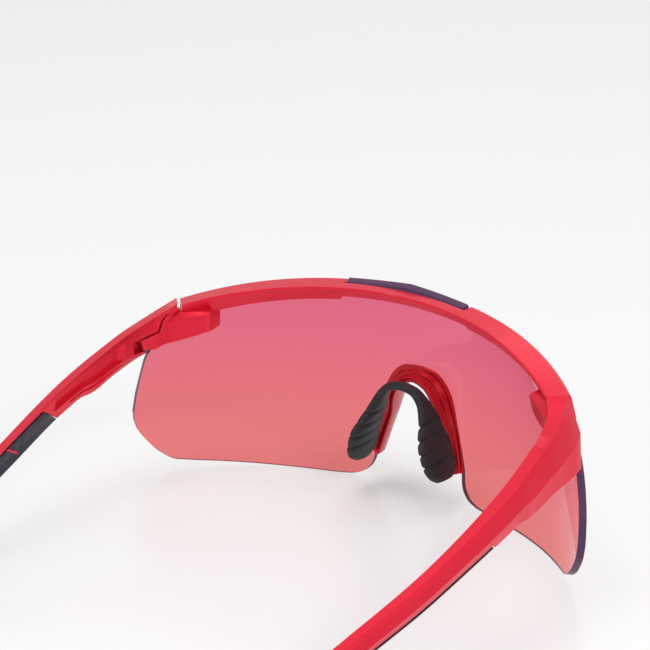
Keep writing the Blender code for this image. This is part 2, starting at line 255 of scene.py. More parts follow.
def prism(outline: Ring, push: Vector) -> bmesh.types.BMesh:
    """Push a flat outline into a closed body.

    Args:
        outline: The outline's points in order.
        push: How far and which way it is pushed.

    Returns:
        The closed bmesh.
    """
    bm = bmesh.new()
    face = bm.faces.new([bm.verts.new(point) for point in outline])
    made = bmesh.ops.extrude_face_region(bm, geom=[face], use_keep_orig=True)
    moved = [item for item in made["geom"] if isinstance(item, bmesh.types.BMVert)]
    bmesh.ops.translate(bm, verts=moved, vec=push)
    bmesh.ops.recalc_face_normals(bm, faces=bm.faces)
    return bm


def to_object(name: str, bm: bmesh.types.BMesh, side: Side = Side.LEFT,
              sharp: float = 32.0) -> bpy.types.Object:
    """Turn a bmesh into a smooth-shaded object at the origin.

    Args:
        name: The piece's name.
        bm: The shape, freed here.
        side: RIGHT mirrors the shape.
        sharp: Edges steeper than this stay sharp.

    Returns:
        The new object.
    """
    bmesh.ops.scale(bm, verts=bm.verts, vec=(side.value, 1.0, 1.0))
    bmesh.ops.recalc_face_normals(bm, faces=bm.faces)
    mesh = bpy.data.meshes.new(name)
    bm.to_mesh(mesh)
    bm.free()
    mesh.shade_smooth()
    mesh.set_sharp_from_angle(angle=radians(sharp))
    piece = bpy.data.objects.new(name, mesh)
    bpy.context.scene.collection.objects.link(piece)
    return piece


def carve(target: bpy.types.Object, tool: bpy.types.Object, operation: str, solver: str = "EXACT") -> None:
    """Cut or join a piece with a tool, which is used up.

    Args:
        target: The piece.
        tool: The tool's object, removed afterwards.
        operation: DIFFERENCE or UNION.
        solver: Blender's solver.
    """
    step = target.modifiers.new("carve", "BOOLEAN")
    step.object = tool
    step.operation = operation
    step.solver = solver
    bake(target)
    bpy.data.objects.remove(tool, do_unlink=True)


def bake(piece: bpy.types.Object) -> None:
    """Apply a piece's modifiers to its mesh.

    Args:
        piece: The piece, whose modifiers are cleared.
    """
    bpy.context.view_layer.update()
    evaluated = piece.evaluated_get(bpy.context.evaluated_depsgraph_get())
    mesh = bpy.data.meshes.new_from_object(evaluated)
    mesh.name = piece.name
    mesh.materials.clear()
    piece.modifiers.clear()
    piece.data = mesh


def finish_shading(piece: bpy.types.Object, sharp: float = 30.0) -> None:
    """Merge stray points and shade a carved piece so that its flats stay flat.

    Args:
        piece: The piece.
        sharp: Edges steeper than this stay sharp.
    """
    bm = bmesh.new()
    bm.from_mesh(piece.data)
    bmesh.ops.remove_doubles(bm, verts=bm.verts, dist=STRAY)
    bmesh.ops.dissolve_degenerate(bm, edges=bm.edges, dist=STRAY)
    bm.to_mesh(piece.data)
    bm.free()
    piece.data.shade_smooth()
    piece.data.set_sharp_from_angle(angle=radians(sharp))
    weights = piece.modifiers.new("flat faces first", "WEIGHTED_NORMAL")
    weights.keep_sharp = True
    bake(piece)


def settle(piece: bpy.types.Object, body: str, node: str | None = None) -> None:
    """Set a finished piece on its body and report it.

    Args:
        piece: The finished piece.
        body: The moving body that carries it.
        node: The plain node that the piece stands for.
    """
    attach(piece, body)
    if node:
        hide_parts(node)
    LOG.info("%s: %d faces on %s", piece.name, len(piece.data.polygons), body)


def edge_angle(edge: bmesh.types.BMEdge) -> float:
    """Give the angle between an edge's two faces, 0 on a border."""
    return degrees(edge.calc_face_angle(0.0))


@dataclass
class LensShield:
    """The one-piece shield lens with its raised middle."""

    lower: SmoothCurve = SmoothCurve((
        (0.0, 31.9), (2.85, 30.5), (4.65, 27.4), (5.7, 23.9), (6.5, 20.1), (7.45, 16.2), (8.3, 12.2),
        (9.15, 8.2), (9.4, 6.0), (10.0, 3.8), (11.7, 1.6), (14.0, 0.7), (18.0, 0.4), (24.5, 0.5),
        (37.4, 1.2), (46.0, 2.1), (49.2, 4.5), (51.5, 7.9), (52.9, 10.8), (53.4, 13.4),
    ))
    upper: SmoothCurve = SmoothCurve((
        (0.0, 52.8), (30.0, 49.2), (42.0, 44.6), (44.2, 42.2), (48.0, 36.6), (50.9, 31.2), (52.2, 24.5),
        (53.1, 18.5), (53.4, 15.4),
    ))
    tab_end: float = 13.2
    tab_height: float = 3.17
    half_angle: float = 53.4
    rows: int = 30
    rim_rounding: float = 0.35
    stops: tuple[tuple[float, float, int], ...] = (
        (0.0, 4.1, 8), (4.1, 10.2, 18), (10.2, 13.15, 6), (13.25, 18.0, 8), (18.0, 42.0, 24),
        (42.0, 53.4, 22),
    )

    def height(self, angle: float, share: float) -> float:
        """Give a height on the lens.

        Args:
            angle: Turn away from the middle.
            share: 0 at the lower edge and 1 at the upper one.

        Returns:
            The height in millimetres.
        """
        low, high = self.lower.at(abs(angle)), self.upper.at(abs(angle))
        if abs(angle) < self.tab_end:
            high += self.tab_height
        return low + (high - low) * share

    def columns(self) -> list[float]:
        """Give the columns' angles, closer together wherever the outline turns."""
        half = {angle for start, end, steps in self.stops for angle in spread(start, end, steps)}
        return sorted(half | {-angle for angle in half})

    def build(self) -> bpy.types.Object:
        """Build the lens.

        Returns:
            The lens, with its rim in the second material slot.
        """
        columns = self.columns()
        last = len(columns) - 1
        bm = bmesh.new()
        bmesh.ops.create_grid(bm, x_segments=last, y_segments=self.rows, size=1.0)
        for vert in bm.verts:
            angle = columns[round((vert.co.x + 1.0) / 2.0 * last)]
            vert.co = FORM.point(angle, self.height(angle, (vert.co.y + 1.0) / 2.0), 0.0)
        bmesh.ops.recalc_face_normals(bm, faces=bm.faces)
        if max(bm.faces, key=lambda face: face.calc_center_median().z).normal.y < 0.0:
            bmesh.ops.reverse_faces(bm, faces=bm.faces)
        bmesh.ops.solidify(bm, geom=bm.faces[:], thickness=FORM.thickness * MM)
        bmesh.ops.recalc_face_normals(bm, faces=bm.faces)
        rim = [edge for edge in bm.edges if edge_angle(edge) > 50.0 and not self.is_upright_step(edge)]
        rounded = set(round_edges(bm, rim, self.rim_rounding, 2))
        for face in bm.faces:
            middle = face.calc_center_median()
            outward = Vector((middle.x, middle.y - (FORM.radius - FORM.forward) * MM, 0.0)).normalized()
            if face in rounded or abs(face.normal.dot(outward)) < 0.5:
                face.material_index = 1
        return to_object("shield_lens", bm, sharp=40.0)

    def is_upright_step(self, edge: bmesh.types.BMEdge) -> bool:
        """Say whether an edge runs through the lens's thickness."""
        run = edge.verts[0].co - edge.verts[1].co
        return abs(run.length - FORM.thickness * MM) < 0.05 * MM and abs(run.z) < 0.9 * FORM.thickness * MM

    def dress(self, piece: bpy.types.Object) -> None:
        """Give the lens its tint and its rim its dark coating.

        Args:
            piece: The lens.
        """
        piece.data.materials.append(tinted_lens("rose_to_amber_tint"))
        piece.data.materials.append(lens_rim("dark_lens_rim"))
        piece.visible_diffuse = False
        piece.visible_shadow = False
        settle(piece, "front", "lens")


# The end block stands behind the lens: angle, depth, upper and lower heights
BLOCK_INNER = (
    (39.7, 5.5, 44.3, 39.2), (42.0, 5.4, 43.4, 38.1), (45.2, 4.8, 42.6, 36.6), (48.3, 3.9, 41.0, 35.3),
)
# Its face against the lens: angle and upper height
BLOCK_OUTER = ((37.8, 45.2), (41.0, 45.0), (44.0, 44.6), (46.4, 43.0))
# Side outlines on the arm's inner face: distance back and height
LOBE_TOP = ((29.6, 44.8), (31.0, 44.3), (32.3, 43.4), (33.1, 42.3), (33.6, 41.0), (33.9, 39.7), (34.5, 39.2))
LOBE = ((28.6, 44.9), *LOBE_TOP, (38.9, 37.9), (38.1, 35.1), (36.0, 35.3), (35.4, 34.9), (28.6, 37.6))
SLOT = (
    (20.0, 45.4), (29.9, 45.2), (31.3, 44.7), (32.7, 43.8), (33.6, 42.6), (34.1, 41.2), (34.4, 39.9),
    (34.9, 39.6), (41.2, 37.8), (40.9, 34.4), (36.8, 34.4), (36.6, 30.0), (20.0, 30.0),
)


@dataclass(frozen=True)
class Hinge:
    """Where the arm, the tongue and the pin meet, on the left side."""

    centre: tuple[float, float, float] = (61.3, 36.9, 37.0)
    tilt: float = 18.0
    pin_radius: float = 0.6
    pin_start: float = -3.2
    pin_finish: float = 1.9
    gap: float = 0.3
    cut_reach: float = 8.0
    face_across: float = 58.7
    face_back: float = 34.0
    face_heading: float = 24.0
    tongue_thickness: float = 3.0
    tongue_round: float = 1.75
    slot_depth: float = 3.6

    @property
    def out(self) -> Vector:
        """The direction that leads out through the arm's side."""
        turn = radians(self.face_heading)
        return Vector((cos(turn), -sin(turn), 0.0))

    def on_face(self, outline: Sequence[tuple[float, float]], inset: float) -> Ring:
        """Lay a side outline on the arm's inner face.

        Args:
            outline: Points as distance back and height.
            inset: How far outwards it is moved.

        Returns:
            The outline's points.
        """
        turn = radians(self.face_heading)
        points = []
        for back, height in outline:
            across = self.face_across + (back - self.face_back) * sin(turn) / cos(turn)
            points.append((Vector((across, back - FORM.forward, height)) + self.out * inset) * MM)
        return points

    def bar(self, radius: float, start: float, end: float, segments: int = 40) -> bmesh.types.BMesh:
        """Make a round bar along the pin's line.

        Args:
            radius: The bar's radius.
            start: Where it starts, past the hinge's centre.
            end: Where it ends.
            segments: Faces round it.

        Returns:
            The closed bmesh.
        """
        x, y, z = self.centre
        place = Matrix.Translation(Vector((x, y - FORM.forward, z)) * MM)
        place = place @ Matrix.Rotation(-radians(self.tilt), 4, "X")
        place = place @ Matrix.Translation((0.0, 0.0, (start + end) / 2.0 * MM))
        bm = bmesh.new()
        bmesh.ops.create_cone(
            bm, cap_ends=True, segments=segments, radius1=radius * MM, radius2=radius * MM,
            depth=(end - start) * MM, matrix=place,
        )
        return bm


HINGE = Hinge()


@dataclass
class BrowBar:
    """The half-rim brow with its end blocks and hinge tongues."""

    half_angle: float = 44.9
    top: float = 55.4
    front: float = -3.1
    back: float = 4.0
    height: float = 5.0
    steps: int = 132
    edge_rounding: float = 0.4
    block_steps: int = 12
    block_end_angle: float = 46.0
    block_end_depth: float = 1.6
    block_rounding: float = 0.6
    lobe_rounding: float = 0.22
    # Cutting blocks: reach each way, lower and upper face from the brow's top, front and back depth
    tab_cut: tuple[float, float, float, float, float] = (13.6, -9.0, 2.0, -5.0, HINGE.gap)
    lip_cut: tuple[float, float, float, float, float] = (14.6, -7.0, -3.7, -1.0, 6.0)
    cut_steps: int = 40

    def top_at(self, angle: float) -> float:
        """Give the brow's highest line at an angle."""
        turn = radians(angle)
        return self.top - (12.1 * turn ** 2 + 3.9 * turn ** 4)

    def section(self, angle: float) -> Ring:
        """Make the channel section: front wall, top, back body and the groove for the lens.

        Args:
            angle: Turn away from the middle.

        Returns:
            The section's ten points.
        """
        turn = radians(abs(angle))
        top = self.top_at(angle)
        inner_top = top - (0.8 - 1.2 * turn ** 2)
        back = self.back - 0.8 * max(0.0, turn - 0.55) / 0.23
        lower = top - self.height
        front_lower = top - (4.4 + 2.2 * turn)
        groove_front = -FORM.thickness - HINGE.gap
        groove_roof = top - 1.4
        corners = (
            (front_lower, self.front), (top - 0.6, self.front), (top, self.front + 0.7),
            (inner_top, back - 0.3), (inner_top - 0.5, back), (lower, 1.3 + 1.4 * turn), (lower, HINGE.gap),
            (groove_roof, HINGE.gap), (groove_roof, groove_front), (front_lower, groove_front),
        )
        return [FORM.point(angle, height, depth) for height, depth in corners]

    def slab(self, half_angle: float, low: float, high: float, front: float, back: float) -> bpy.types.Object:
        """Make a cutting block that follows the lens between two heights and two depths.

        Args:
            half_angle: How far it reaches each way.
            low: Its lower face, from the brow's highest line.
            high: Its upper face.
            front: Its front face's depth.
            back: Its back face's depth.

        Returns:
            The block.
        """
        rings = []
        for angle in spread(-half_angle, half_angle, self.cut_steps):
            base = self.top_at(angle)
            corners = ((low, front), (high, front), (high, back), (low, back))
            rings.append([FORM.point(angle, base + height, depth) for height, depth in corners])
        return to_object("cutting_block", skin(rings))

    def end_block(self, side: Side) -> bpy.types.Object:
        """Make the block that carries the hinge tongue.

        Args:
            side: Which end of the brow.

        Returns:
            The block.
        """
        rings = []
        steps = self.block_steps
        for inner, outer in zip(read_rows(BLOCK_INNER, steps), read_rows(BLOCK_OUTER, steps)):
            angle, depth, upper, lower = inner
            outer_angle, roof = outer
            thick = HINGE.gap if outer_angle < self.block_end_angle else self.block_end_depth
            rings.append([
                FORM.point(angle, upper, depth), FORM.point(angle, lower, depth),
                FORM.point(outer_angle, lower + 0.2, thick), FORM.point(outer_angle, roof, thick),
                FORM.point(angle, roof - 0.1, depth - 2.0),
            ])
        bm = skin(rings)
        round_columns(bm, (0, 1, 4), self.block_rounding, 4)
        return to_object("end_block", bm, side)

    def tongue(self, side: Side) -> bpy.types.Object:
        """Make the lobe and the tongue that the pin passes through.

        Args:
            side: Which end of the brow.

        Returns:
            The tongue.
        """
        bm = prism(HINGE.on_face(LOBE, 0.0), HINGE.out * HINGE.tongue_thickness * MM)
        face = max(vert.co.dot(HINGE.out) for vert in bm.verts)
        outer = [vert for vert in bm.verts if vert.co.dot(HINGE.out) > face - 0.2 * MM]
        outer.sort(key=lambda vert: vert.co.y)
        corner = [edge for edge in bm.edges if set(edge.verts) == set(outer[-2:])]
        round_edges(bm, corner, HINGE.tongue_round, 8, held=False)
        inner = min(vert.co.dot(HINGE.out) for vert in bm.verts) + 0.05 * MM
        rim = [
            edge for edge in bm.edges
            if all(vert.co.dot(HINGE.out) < inner for vert in edge.verts) and edge_angle(edge) > 60.0
        ]
        round_edges(bm, rim, self.lobe_rounding, 2, held=False)
        return to_object("tongue", bm, side)

    def build(self) -> bpy.types.Object:
        """Build the brow.

        Returns:
            The brow.
        """
        bm = skin([self.section(angle) for angle in spread(-self.half_angle, self.half_angle, self.steps)])
        round_columns(bm, (0, 1, 2, 3, 4, 5), self.edge_rounding)
        brow = to_object("brow_bar", bm)
        carve(brow, self.slab(*self.tab_cut), "DIFFERENCE")
        carve(brow, self.slab(*self.lip_cut), "DIFFERENCE")
        for side in Side:
            carve(brow, self.end_block(side), "UNION")
            carve(brow, self.tongue(side), "UNION")
            hole = HINGE.bar(HINGE.pin_radius + HINGE.gap, -HINGE.cut_reach, HINGE.cut_reach)
            carve(brow, to_object("pin_hole", hole, side), "DIFFERENCE")
        finish_shading(brow)
        return brow

    def dress(self, piece: bpy.types.Object, finish: bpy.types.Material) -> None:
        """Give the brow the frame's finish."""
        piece.data.materials.append(finish)
        settle(piece, "front", "brow_frame")


@dataclass(frozen=True)
class ArmForm:
    """The arm's run from the hinge to the tip, on the left side."""

    out: SmoothCurve = SmoothCurve((
        (26.2, 59.8), (33.5, 63.1), (44.0, 65.5), (62.0, 66.75), (86.0, 64.9), (112.0, 60.4), (146.0, 53.2),
    ))
    top: SmoothCurve = SmoothCurve((
        (26.2, 46.6), (33.5, 43.3), (44.0, 39.6), (62.0, 33.2), (86.0, 24.5), (112.0, 15.3), (126.0, 10.2),
        (146.0, 4.8),
    ))
    under: SmoothCurve = SmoothCurve((
        (26.2, 34.2), (33.5, 32.1), (44.0, 29.8), (55.0, 27.15), (56.5, 27.2), (62.0, 25.9), (86.0, 18.1),
        (112.0, 9.6), (126.0, 4.2), (137.0, 0.0), (146.0, 0.0),
    ))
    heading: SmoothCurve = SmoothCurve((
        (26.2, 45.0), (30.0, 28.0), (33.5, 20.0), (44.0, 9.0), (62.0, 0.0), (86.0, -6.0), (112.0, -11.0),
        (146.0, -13.0),
    ))
    width: SmoothCurve = SmoothCurve((
        (26.2, 5.8), (33.5, 4.3), (44.0, 3.9), (62.0, 3.7), (86.0, 2.9), (112.0, 2.8), (146.0, 3.0),
    ))
    flare: SmoothCurve = SmoothCurve((
        (26.2, 4.5), (33.5, 4.0), (44.0, 1.7), (62.0, 0.2), (86.0, -0.3), (146.0, -0.4),
    ))
    slant: SmoothCurve = SmoothCurve((
        (26.2, 7.3), (29.5, 6.0), (33.5, 4.2), (37.5, 2.2), (41.0, 0.3), (43.6, -1.3), (50.0, -1.5),
        (57.0, -2.5), (64.0, -4.5), (71.0, -6.5), (74.0, -7.2), (80.0, -4.5), (86.0, -2.0), (92.0, 0.0),
        (99.0, 0.0),
    ))
    under_width: float = 2.2
    grip_front: float = 74.0
    grip_thickness: float = 1.5
    core_end: float = 140.6
    end: float = 144.0
    step: float = 0.02

    def point(self, station: float, drop: float, offset: float, lift: float = 0.0) -> Vector:
        """Place a point of the arm's section.

        Args:
            station: Distance back of the section's top.
            drop: Share of the way down from the top to the underside.
            offset: How far outwards from the top outer edge.
            lift: Extra height.

        Returns:
            The point, in metres.
        """
        back = station + self.slant.at(station) * drop
        heading = radians(self.heading.at(back))
        top, under = self.top.at(back), self.under.at(back)
        edge = Vector((self.out.at(back), back - FORM.forward, top + (under - top) * drop + lift))
        return (edge + Vector((cos(heading), -sin(heading), 0.0)) * offset) * MM

    def station_of(self, back: float, drop: float) -> float:
        """Find the station whose slanted section passes through a place.

        Args:
            back: Distance back of the place.
            drop: Share of the way down.

        Returns:
            The station.
        """
        station = back
        for _ in range(8):
            station = back - self.slant.at(station) * drop
        return station

    def flare_at(self, station: float) -> float:
        """Give how far the underside stands out at a station."""
        return self.flare.at(station + self.slant.at(station))


ARM = ArmForm()


@dataclass(frozen=True)
class Pocket:
    """A rounded pocket pressed into the arm's inner face; heights are shares of the way down."""

    front: float
    back: float
    upper: float
    lower: float
    corner: float
    wall: float
    depth: float
    front_wall: float

    def press(self, back: float, drop: float, tall: float) -> float:
        """Give how far the face is pressed in.

        Args:
            back: Distance back.
            drop: Share of the way down the arm.
            tall: The arm's height there.

        Returns:
            The depth in millimetres, 0 outside the pocket.
        """
        half_long = (self.back - self.front) / 2.0
        half_high = (self.lower - self.upper) * tall / 2.0
        corner = min(self.corner, half_high)
        along = abs(back - (self.front + self.back) / 2.0) - half_long + corner
        down = abs(drop - (self.upper + self.lower) / 2.0) * tall - half_high + corner
        inside = corner - sqrt(max(along, 0.0) ** 2 + max(down, 0.0) ** 2) - min(max(along, down), 0.0)
        way = fraction(inside / self.wall)
        return self.depth * way * way * (3.0 - 2.0 * way) * fraction((back - self.front) / self.front_wall)


@dataclass
class FoldingArm:
    """One red arm: the fork at the hinge, the two pockets inside and the core under the grip."""

    side: Side
    first: float = 26.2
    face_columns: int = 20
    foot_columns: int = 16
    edge_rounding: float = 0.4
    pockets_start: float = 42.0
    hinge_rows: int = 22
    pocket_rows: int = 96
    core_rows: int = 60
    pockets: tuple[Pocket, ...] = (
        Pocket(
            front=43.4, back=68.5, upper=0.14, lower=0.6, corner=0.5, wall=0.35, depth=1.15, front_wall=1.4,
        ),
        Pocket(
            front=43.0, back=62.6, upper=0.67, lower=0.82, corner=0.8, wall=0.35, depth=0.45, front_wall=1.2,
        ),
    )

    def between(self, start: Place, end: Place, steps: int) -> list[Place]:
        """Give evenly spaced places between two corners of the section, the first included."""
        ways = spread(0.0, 1.0, steps)[:-1]
        return [(start[0] + (end[0] - start[0]) * way, start[1] + (end[1] - start[1]) * way) for way in ways]

    def section(self, station: float, recessed: bool) -> Ring:
        """Make the arm's section.

        Args:
            station: Distance back of the section's top.
            recessed: Whether the grip covers the inner side here.

        Returns:
            The section's points.
        """
        width, flare = ARM.width.at(station), ARM.flare_at(station)
        if recessed:
            seat = (
                (0.17, ARM.grip_thickness - width + 0.15), (0.84, flare - 0.8), (0.86, flare - 0.5),
                (0.87, flare + 0.05),
            )
        else:
            seat = ((0.11, 0.1 - width), (0.62, 0.6 - width), (1.0, flare - ARM.under_width), (1.0, flare))
        face_top, face_foot, under_inner, under_outer = seat
        places = self.between(face_top, face_foot, self.face_columns)
        places += self.between(face_foot, under_inner, self.foot_columns)
        if not recessed:
            places = [(drop, offset + self.pressed(station, drop)) for drop, offset in places]
        outer = ((0.5, 0.5 * flare + 0.9), (0.1, 0.1))
        places = [(0.06, 0.05 - width), *places, under_inner, under_outer, *outer]
        edge_inner = ARM.point(station, 0.0, -width, 0.5)
        edge_outer = ARM.point(station, 0.0, -0.8, 0.2)
        return [edge_inner, *[ARM.point(station, drop, offset) for drop, offset in places], edge_outer]

    def pressed(self, station: float, drop: float) -> float:
        """Give how far the inner face is pressed in by the pockets.

        Args:
            station: Distance back of the section's top.
            drop: Share of the way down.

        Returns:
            The depth in millimetres.
        """
        back = station + ARM.slant.at(station) * drop
        tall = ARM.top.at(back) - ARM.under.at(back)
        return max(pocket.press(back, drop, tall) for pocket in self.pockets)

    def build(self) -> bpy.types.Object:
        """Build the arm.

        Returns:
            The arm.
        """
        front, core = ARM.grip_front, ARM.core_end
        open_places = spread(self.first, self.pockets_start, self.hinge_rows)
        open_places += spread(self.pockets_start, front, self.pocket_rows)[1:]
        rings = [self.section(place, False) for place in open_places]
        rings += [self.section(place, True) for place in spread(front + ARM.step, core, self.core_rows)]
        bm = skin(rings)
        foot = 2 + self.face_columns + self.foot_columns
        round_columns(bm, (0, foot, foot + 1, foot + 2, foot + 3, foot + 4), self.edge_rounding)
        arm = to_object(f"{self.side.word}_folding_arm", bm, self.side)
        outline = HINGE.on_face(SLOT, -HINGE.cut_reach)
        slot = prism(outline, HINGE.out * (HINGE.cut_reach + HINGE.slot_depth) * MM)
        hole = HINGE.bar(HINGE.pin_radius + HINGE.gap, -HINGE.cut_reach, HINGE.pin_finish + HINGE.gap)
        # The exact solver leaves the left arm empty here, so the arms use the manifold one
        carve(arm, to_object("fork_slot", slot, self.side), "DIFFERENCE", "MANIFOLD")
        carve(arm, to_object("pin_hole", hole, self.side), "DIFFERENCE", "MANIFOLD")
        finish_shading(arm)
        return arm

    def dress(self, piece: bpy.types.Object, finish: bpy.types.Material) -> None:
        """Give the arm the frame's finish."""
        piece.data.materials.append(finish)
        settle(piece, self.side.body, f"{self.side.word}_arm")


@dataclass
class ArmGrip:
    """The rubber grip over an arm's end, with shallow scallops and a red inlaid bar."""

    side: Side
    scallop_depth: float = 0.34
    scallop_pitch: float = 3.9
    scallop_bow: float = 5.0
    scallops: tuple[float, float] = (77.5, 136.0)
    rows: int = 150
    tip_rounding: float = 1.2
    bar_upper: tuple[float, float] = (87.6, 0.14)
    bar_lower: tuple[float, float] = (82.9, 0.8)
    bar_half_width: float = 0.45
    bar_proud: float = 0.12

    def inner_offset(self, station: float, drop: float) -> float:
        """Give the inner face's offset from the arm's top outer edge.

        Args:
            station: Distance back of the section's top.
            drop: Share of the way down.

        Returns:
            The offset in millimetres.
        """
        width = ARM.width.at(station)
        foot = ARM.flare_at(station) - ARM.under_width
        face = SmoothCurve(((0.18, 0.05 - width), (0.4, 0.1 - width), (0.66, 0.5 - width), (1.0, foot)))
        return face.at(drop)

    def scallop(self, station: float, drop: float) -> float:
        """Give how deep the inner face is pressed in, in arcs across the grip.

        Args:
            station: Distance back of the section's top.
            drop: Share of the way down.

        Returns:
            The depth in millimetres.
        """
        back = station + ARM.slant.at(station) * drop + self.scallop_bow * (drop - 0.45) ** 2
        first, last = self.scallops
        fade = fraction((back - first + 1.0) / 2.0) * fraction((last - back) / 6.0)
        across = max(0.0, 1.0 - ((drop - 0.5) / 0.36) ** 2)
        saw = (back - first) / self.scallop_pitch % 1.0
        return self.scallop_depth * fade * across * (1.0 - saw) ** 2 * min(1.0, saw / 0.12)

    def section(self, station: float, whole: bool = False, shrink: float = 0.0) -> Ring:
        """Make the rubber's section: a J round the inner side and underside, or the whole tip.

        Args:
            station: Distance back of the section's top.
            whole: Whether it closes round the tip.
            shrink: How far the points draw in to the middle, 1 being all the way.

        Returns:
            The section's points.
        """
        width, flare = ARM.width.at(station), ARM.flare_at(station)
        drops = [0.18, *spread(0.22, 0.92, 14), 1.0]
        inner = [(drop, self.inner_offset(station, drop) + self.scallop(station, drop)) for drop in drops]
        inner.append((1.0, flare - 0.1))
        if whole:
            inner[0] = (0.08, -width)
            outer = [(0.6, 0.5 * flare + 0.8), (0.2, 0.4), (0.0, -0.4), (0.0, 0.5 - width)]
        else:
            outer = [
                (0.925, flare + 0.1), (0.925, flare - 0.6), (0.89, flare - 1.1),
                (0.2, ARM.grip_thickness - width - 0.2),
            ]
        points = [ARM.point(station, drop, offset) for drop, offset in inner + outer]
        centre = sum(points, Vector()) / len(points)
        return [point.lerp(centre, shrink) for point in points]

    def build(self) -> bpy.types.Object:
        """Build the grip.

        Returns:
            The grip.
        """
        front, tip = ARM.grip_front + ARM.step + HINGE.gap, ARM.core_end + HINGE.gap
        turn = ARM.end - self.tip_rounding
        rings = [self.section(place) for place in spread(front, tip, self.rows)]
        rings += [self.section(place, True) for place in (tip + ARM.step, tip + 1.0, turn)]
        closing = ((0.5, 0.06), (0.85, 0.16), (1.0, 0.3))
        rings += [self.section(turn + self.tip_rounding * way, True, shrink) for way, shrink in closing]
        bm = skin(rings)
        round_columns(bm, (16, 17, 18, 19, 20, 0), 0.22, 2)
        return to_object(f"{self.side.word}_rubber_grip", bm, self.side, 38.0)

    def build_bar(self) -> bpy.types.Object:
        """Build the inlaid bar across the grip's inner face.

        Returns:
            The bar.
        """
        rings = []
        (back_upper, drop_upper), (back_lower, drop_lower) = self.bar_upper, self.bar_lower
        for sweep in spread(0.0, pi, 24):
            way = 0.5 - 0.5 * cos(sweep)
            back = back_upper + (back_lower - back_upper) * way
            drop = drop_upper + (drop_lower - drop_upper) * way
            station = ARM.station_of(back, drop)
            end = sqrt(max(0.02, 1.0 - abs(2.0 * way - 1.0) ** 8))
            base = self.inner_offset(station, drop) + self.scallop(station, drop)
            ring = []
            for turn in spread(0.0, 2.0 * pi, 14)[:-1]:
                along = self.bar_half_width * end * cos(turn)
                rise = (self.bar_proud + 0.3) * end * sin(turn) - 0.3 * end
                ring.append(ARM.point(station + along, drop, base - rise))
            rings.append(ring)
        return to_object(f"{self.side.word}_grip_bar", skin(rings), self.side, 60.0)

    def dress(self, grip: bpy.types.Object, bar: bpy.types.Object, rubber: bpy.types.Material,
              accent: bpy.types.Material) -> None:
        """Give the grip its rubber and the bar its red.

        Args:
            grip: The grip.
            bar: The bar inlaid in it.
            rubber: The grip's finish.
            accent: The bar's finish.
        """
        grip.data.materials.append(rubber)
        bar.data.materials.append(accent)
        settle(grip, self.side.body, f"{self.side.word}_arm_grip")
        settle(bar, self.side.body)


@dataclass(frozen=True)
class ArchPath:
    """A path from one foot over the top of an arch to the other foot."""

    half: tuple[tuple[float, ...], ...]
    height_place: int

    def rows(self, steps: int) -> list[list[float]]:
        """Read the whole path.

        Args:
            steps: Number of steps.

        Returns:
            Rows of the path's numbers.
        """
        whole = list(self.half) + [(-row[0], *row[1:]) for row in reversed(self.half[:-1])]
        return read_rows(whole, steps)

    def normals(self, rows: Sequence[Sequence[float]]) -> list[Vector]:
        """Give the directions that point away from the nose, square to the path.

        Args:
            rows: Rows from rows().

        Returns:
            One unit vector a row.
        """
        made = []
        for k in range(len(rows)):
            before, after = rows[max(k - 1, 0)], rows[min(k + 1, len(rows) - 1)]
            run, rise = after[0] - before[0], after[self.height_place] - before[self.height_place]
            made.append(Vector((rise, 0.0, -run)).normalized())
        return made


@dataclass
class NoseClip:
    """The red arch that clips over the lens's cut-out and holds the saddle."""

    path: ArchPath = ArchPath((
        (11.9, 7.6), (10.7, 11.6), (9.5, 15.6), (8.1, 19.6), (6.9, 23.3), (5.5, 26.6), (3.3, 29.2),
        (0.0, 30.3),
    ), 1)
    section: tuple[tuple[float, float], ...] = (
        (0.0, -1.9), (1.2, -1.9), (1.2, 0.3), (4.3, 0.3), (4.3, 1.4), (3.1, 1.5), (2.6, 2.6), (1.8, 2.7),
        (1.4, 4.4), (0.0, 4.4),
    )
    reach: SmoothCurve = SmoothCurve(((7.6, 0.55), (20.0, 0.8), (27.0, 1.05), (29.2, 1.05), (30.3, 0.8)))
    depth: SmoothCurve = SmoothCurve(((7.6, 0.4), (18.0, 0.45), (26.0, 1.0), (30.3, 1.0)))
    web: float = 1.2
    seat: float = 0.3
    steps: int = 112
    edge_rounding: float = 0.2

    def build(self) -> bpy.types.Object:
        """Build the clip.

        Returns:
            The clip.
        """
        rows = self.path.rows(self.steps)
        rings = []
        for (across, height), normal in zip(rows, self.path.normals(rows)):
            ring = []
            for outward, depth in self.section:
                if outward > self.web:
                    outward = self.web + (outward - self.web) * self.reach.at(height)
                if depth > self.seat:
                    depth = self.seat + (depth - self.seat) * self.depth.at(height)
                spot = Vector((across, 0.0, height)) + normal * outward
                ring.append(FORM.point(degrees(spot.x / FORM.radius), spot.z, depth))
            rings.append(ring)
        bm = skin(rings)
        round_columns(bm, (0, 1, 3, 4, 5, 6, 7, 8, 9), self.edge_rounding)
        return to_object("arch_clip", bm)

    def dress(self, piece: bpy.types.Object, finish: bpy.types.Material) -> None:
        """Give the clip its glossy red."""
        piece.data.materials.append(finish)
        settle(piece, "front", "nose_clip")


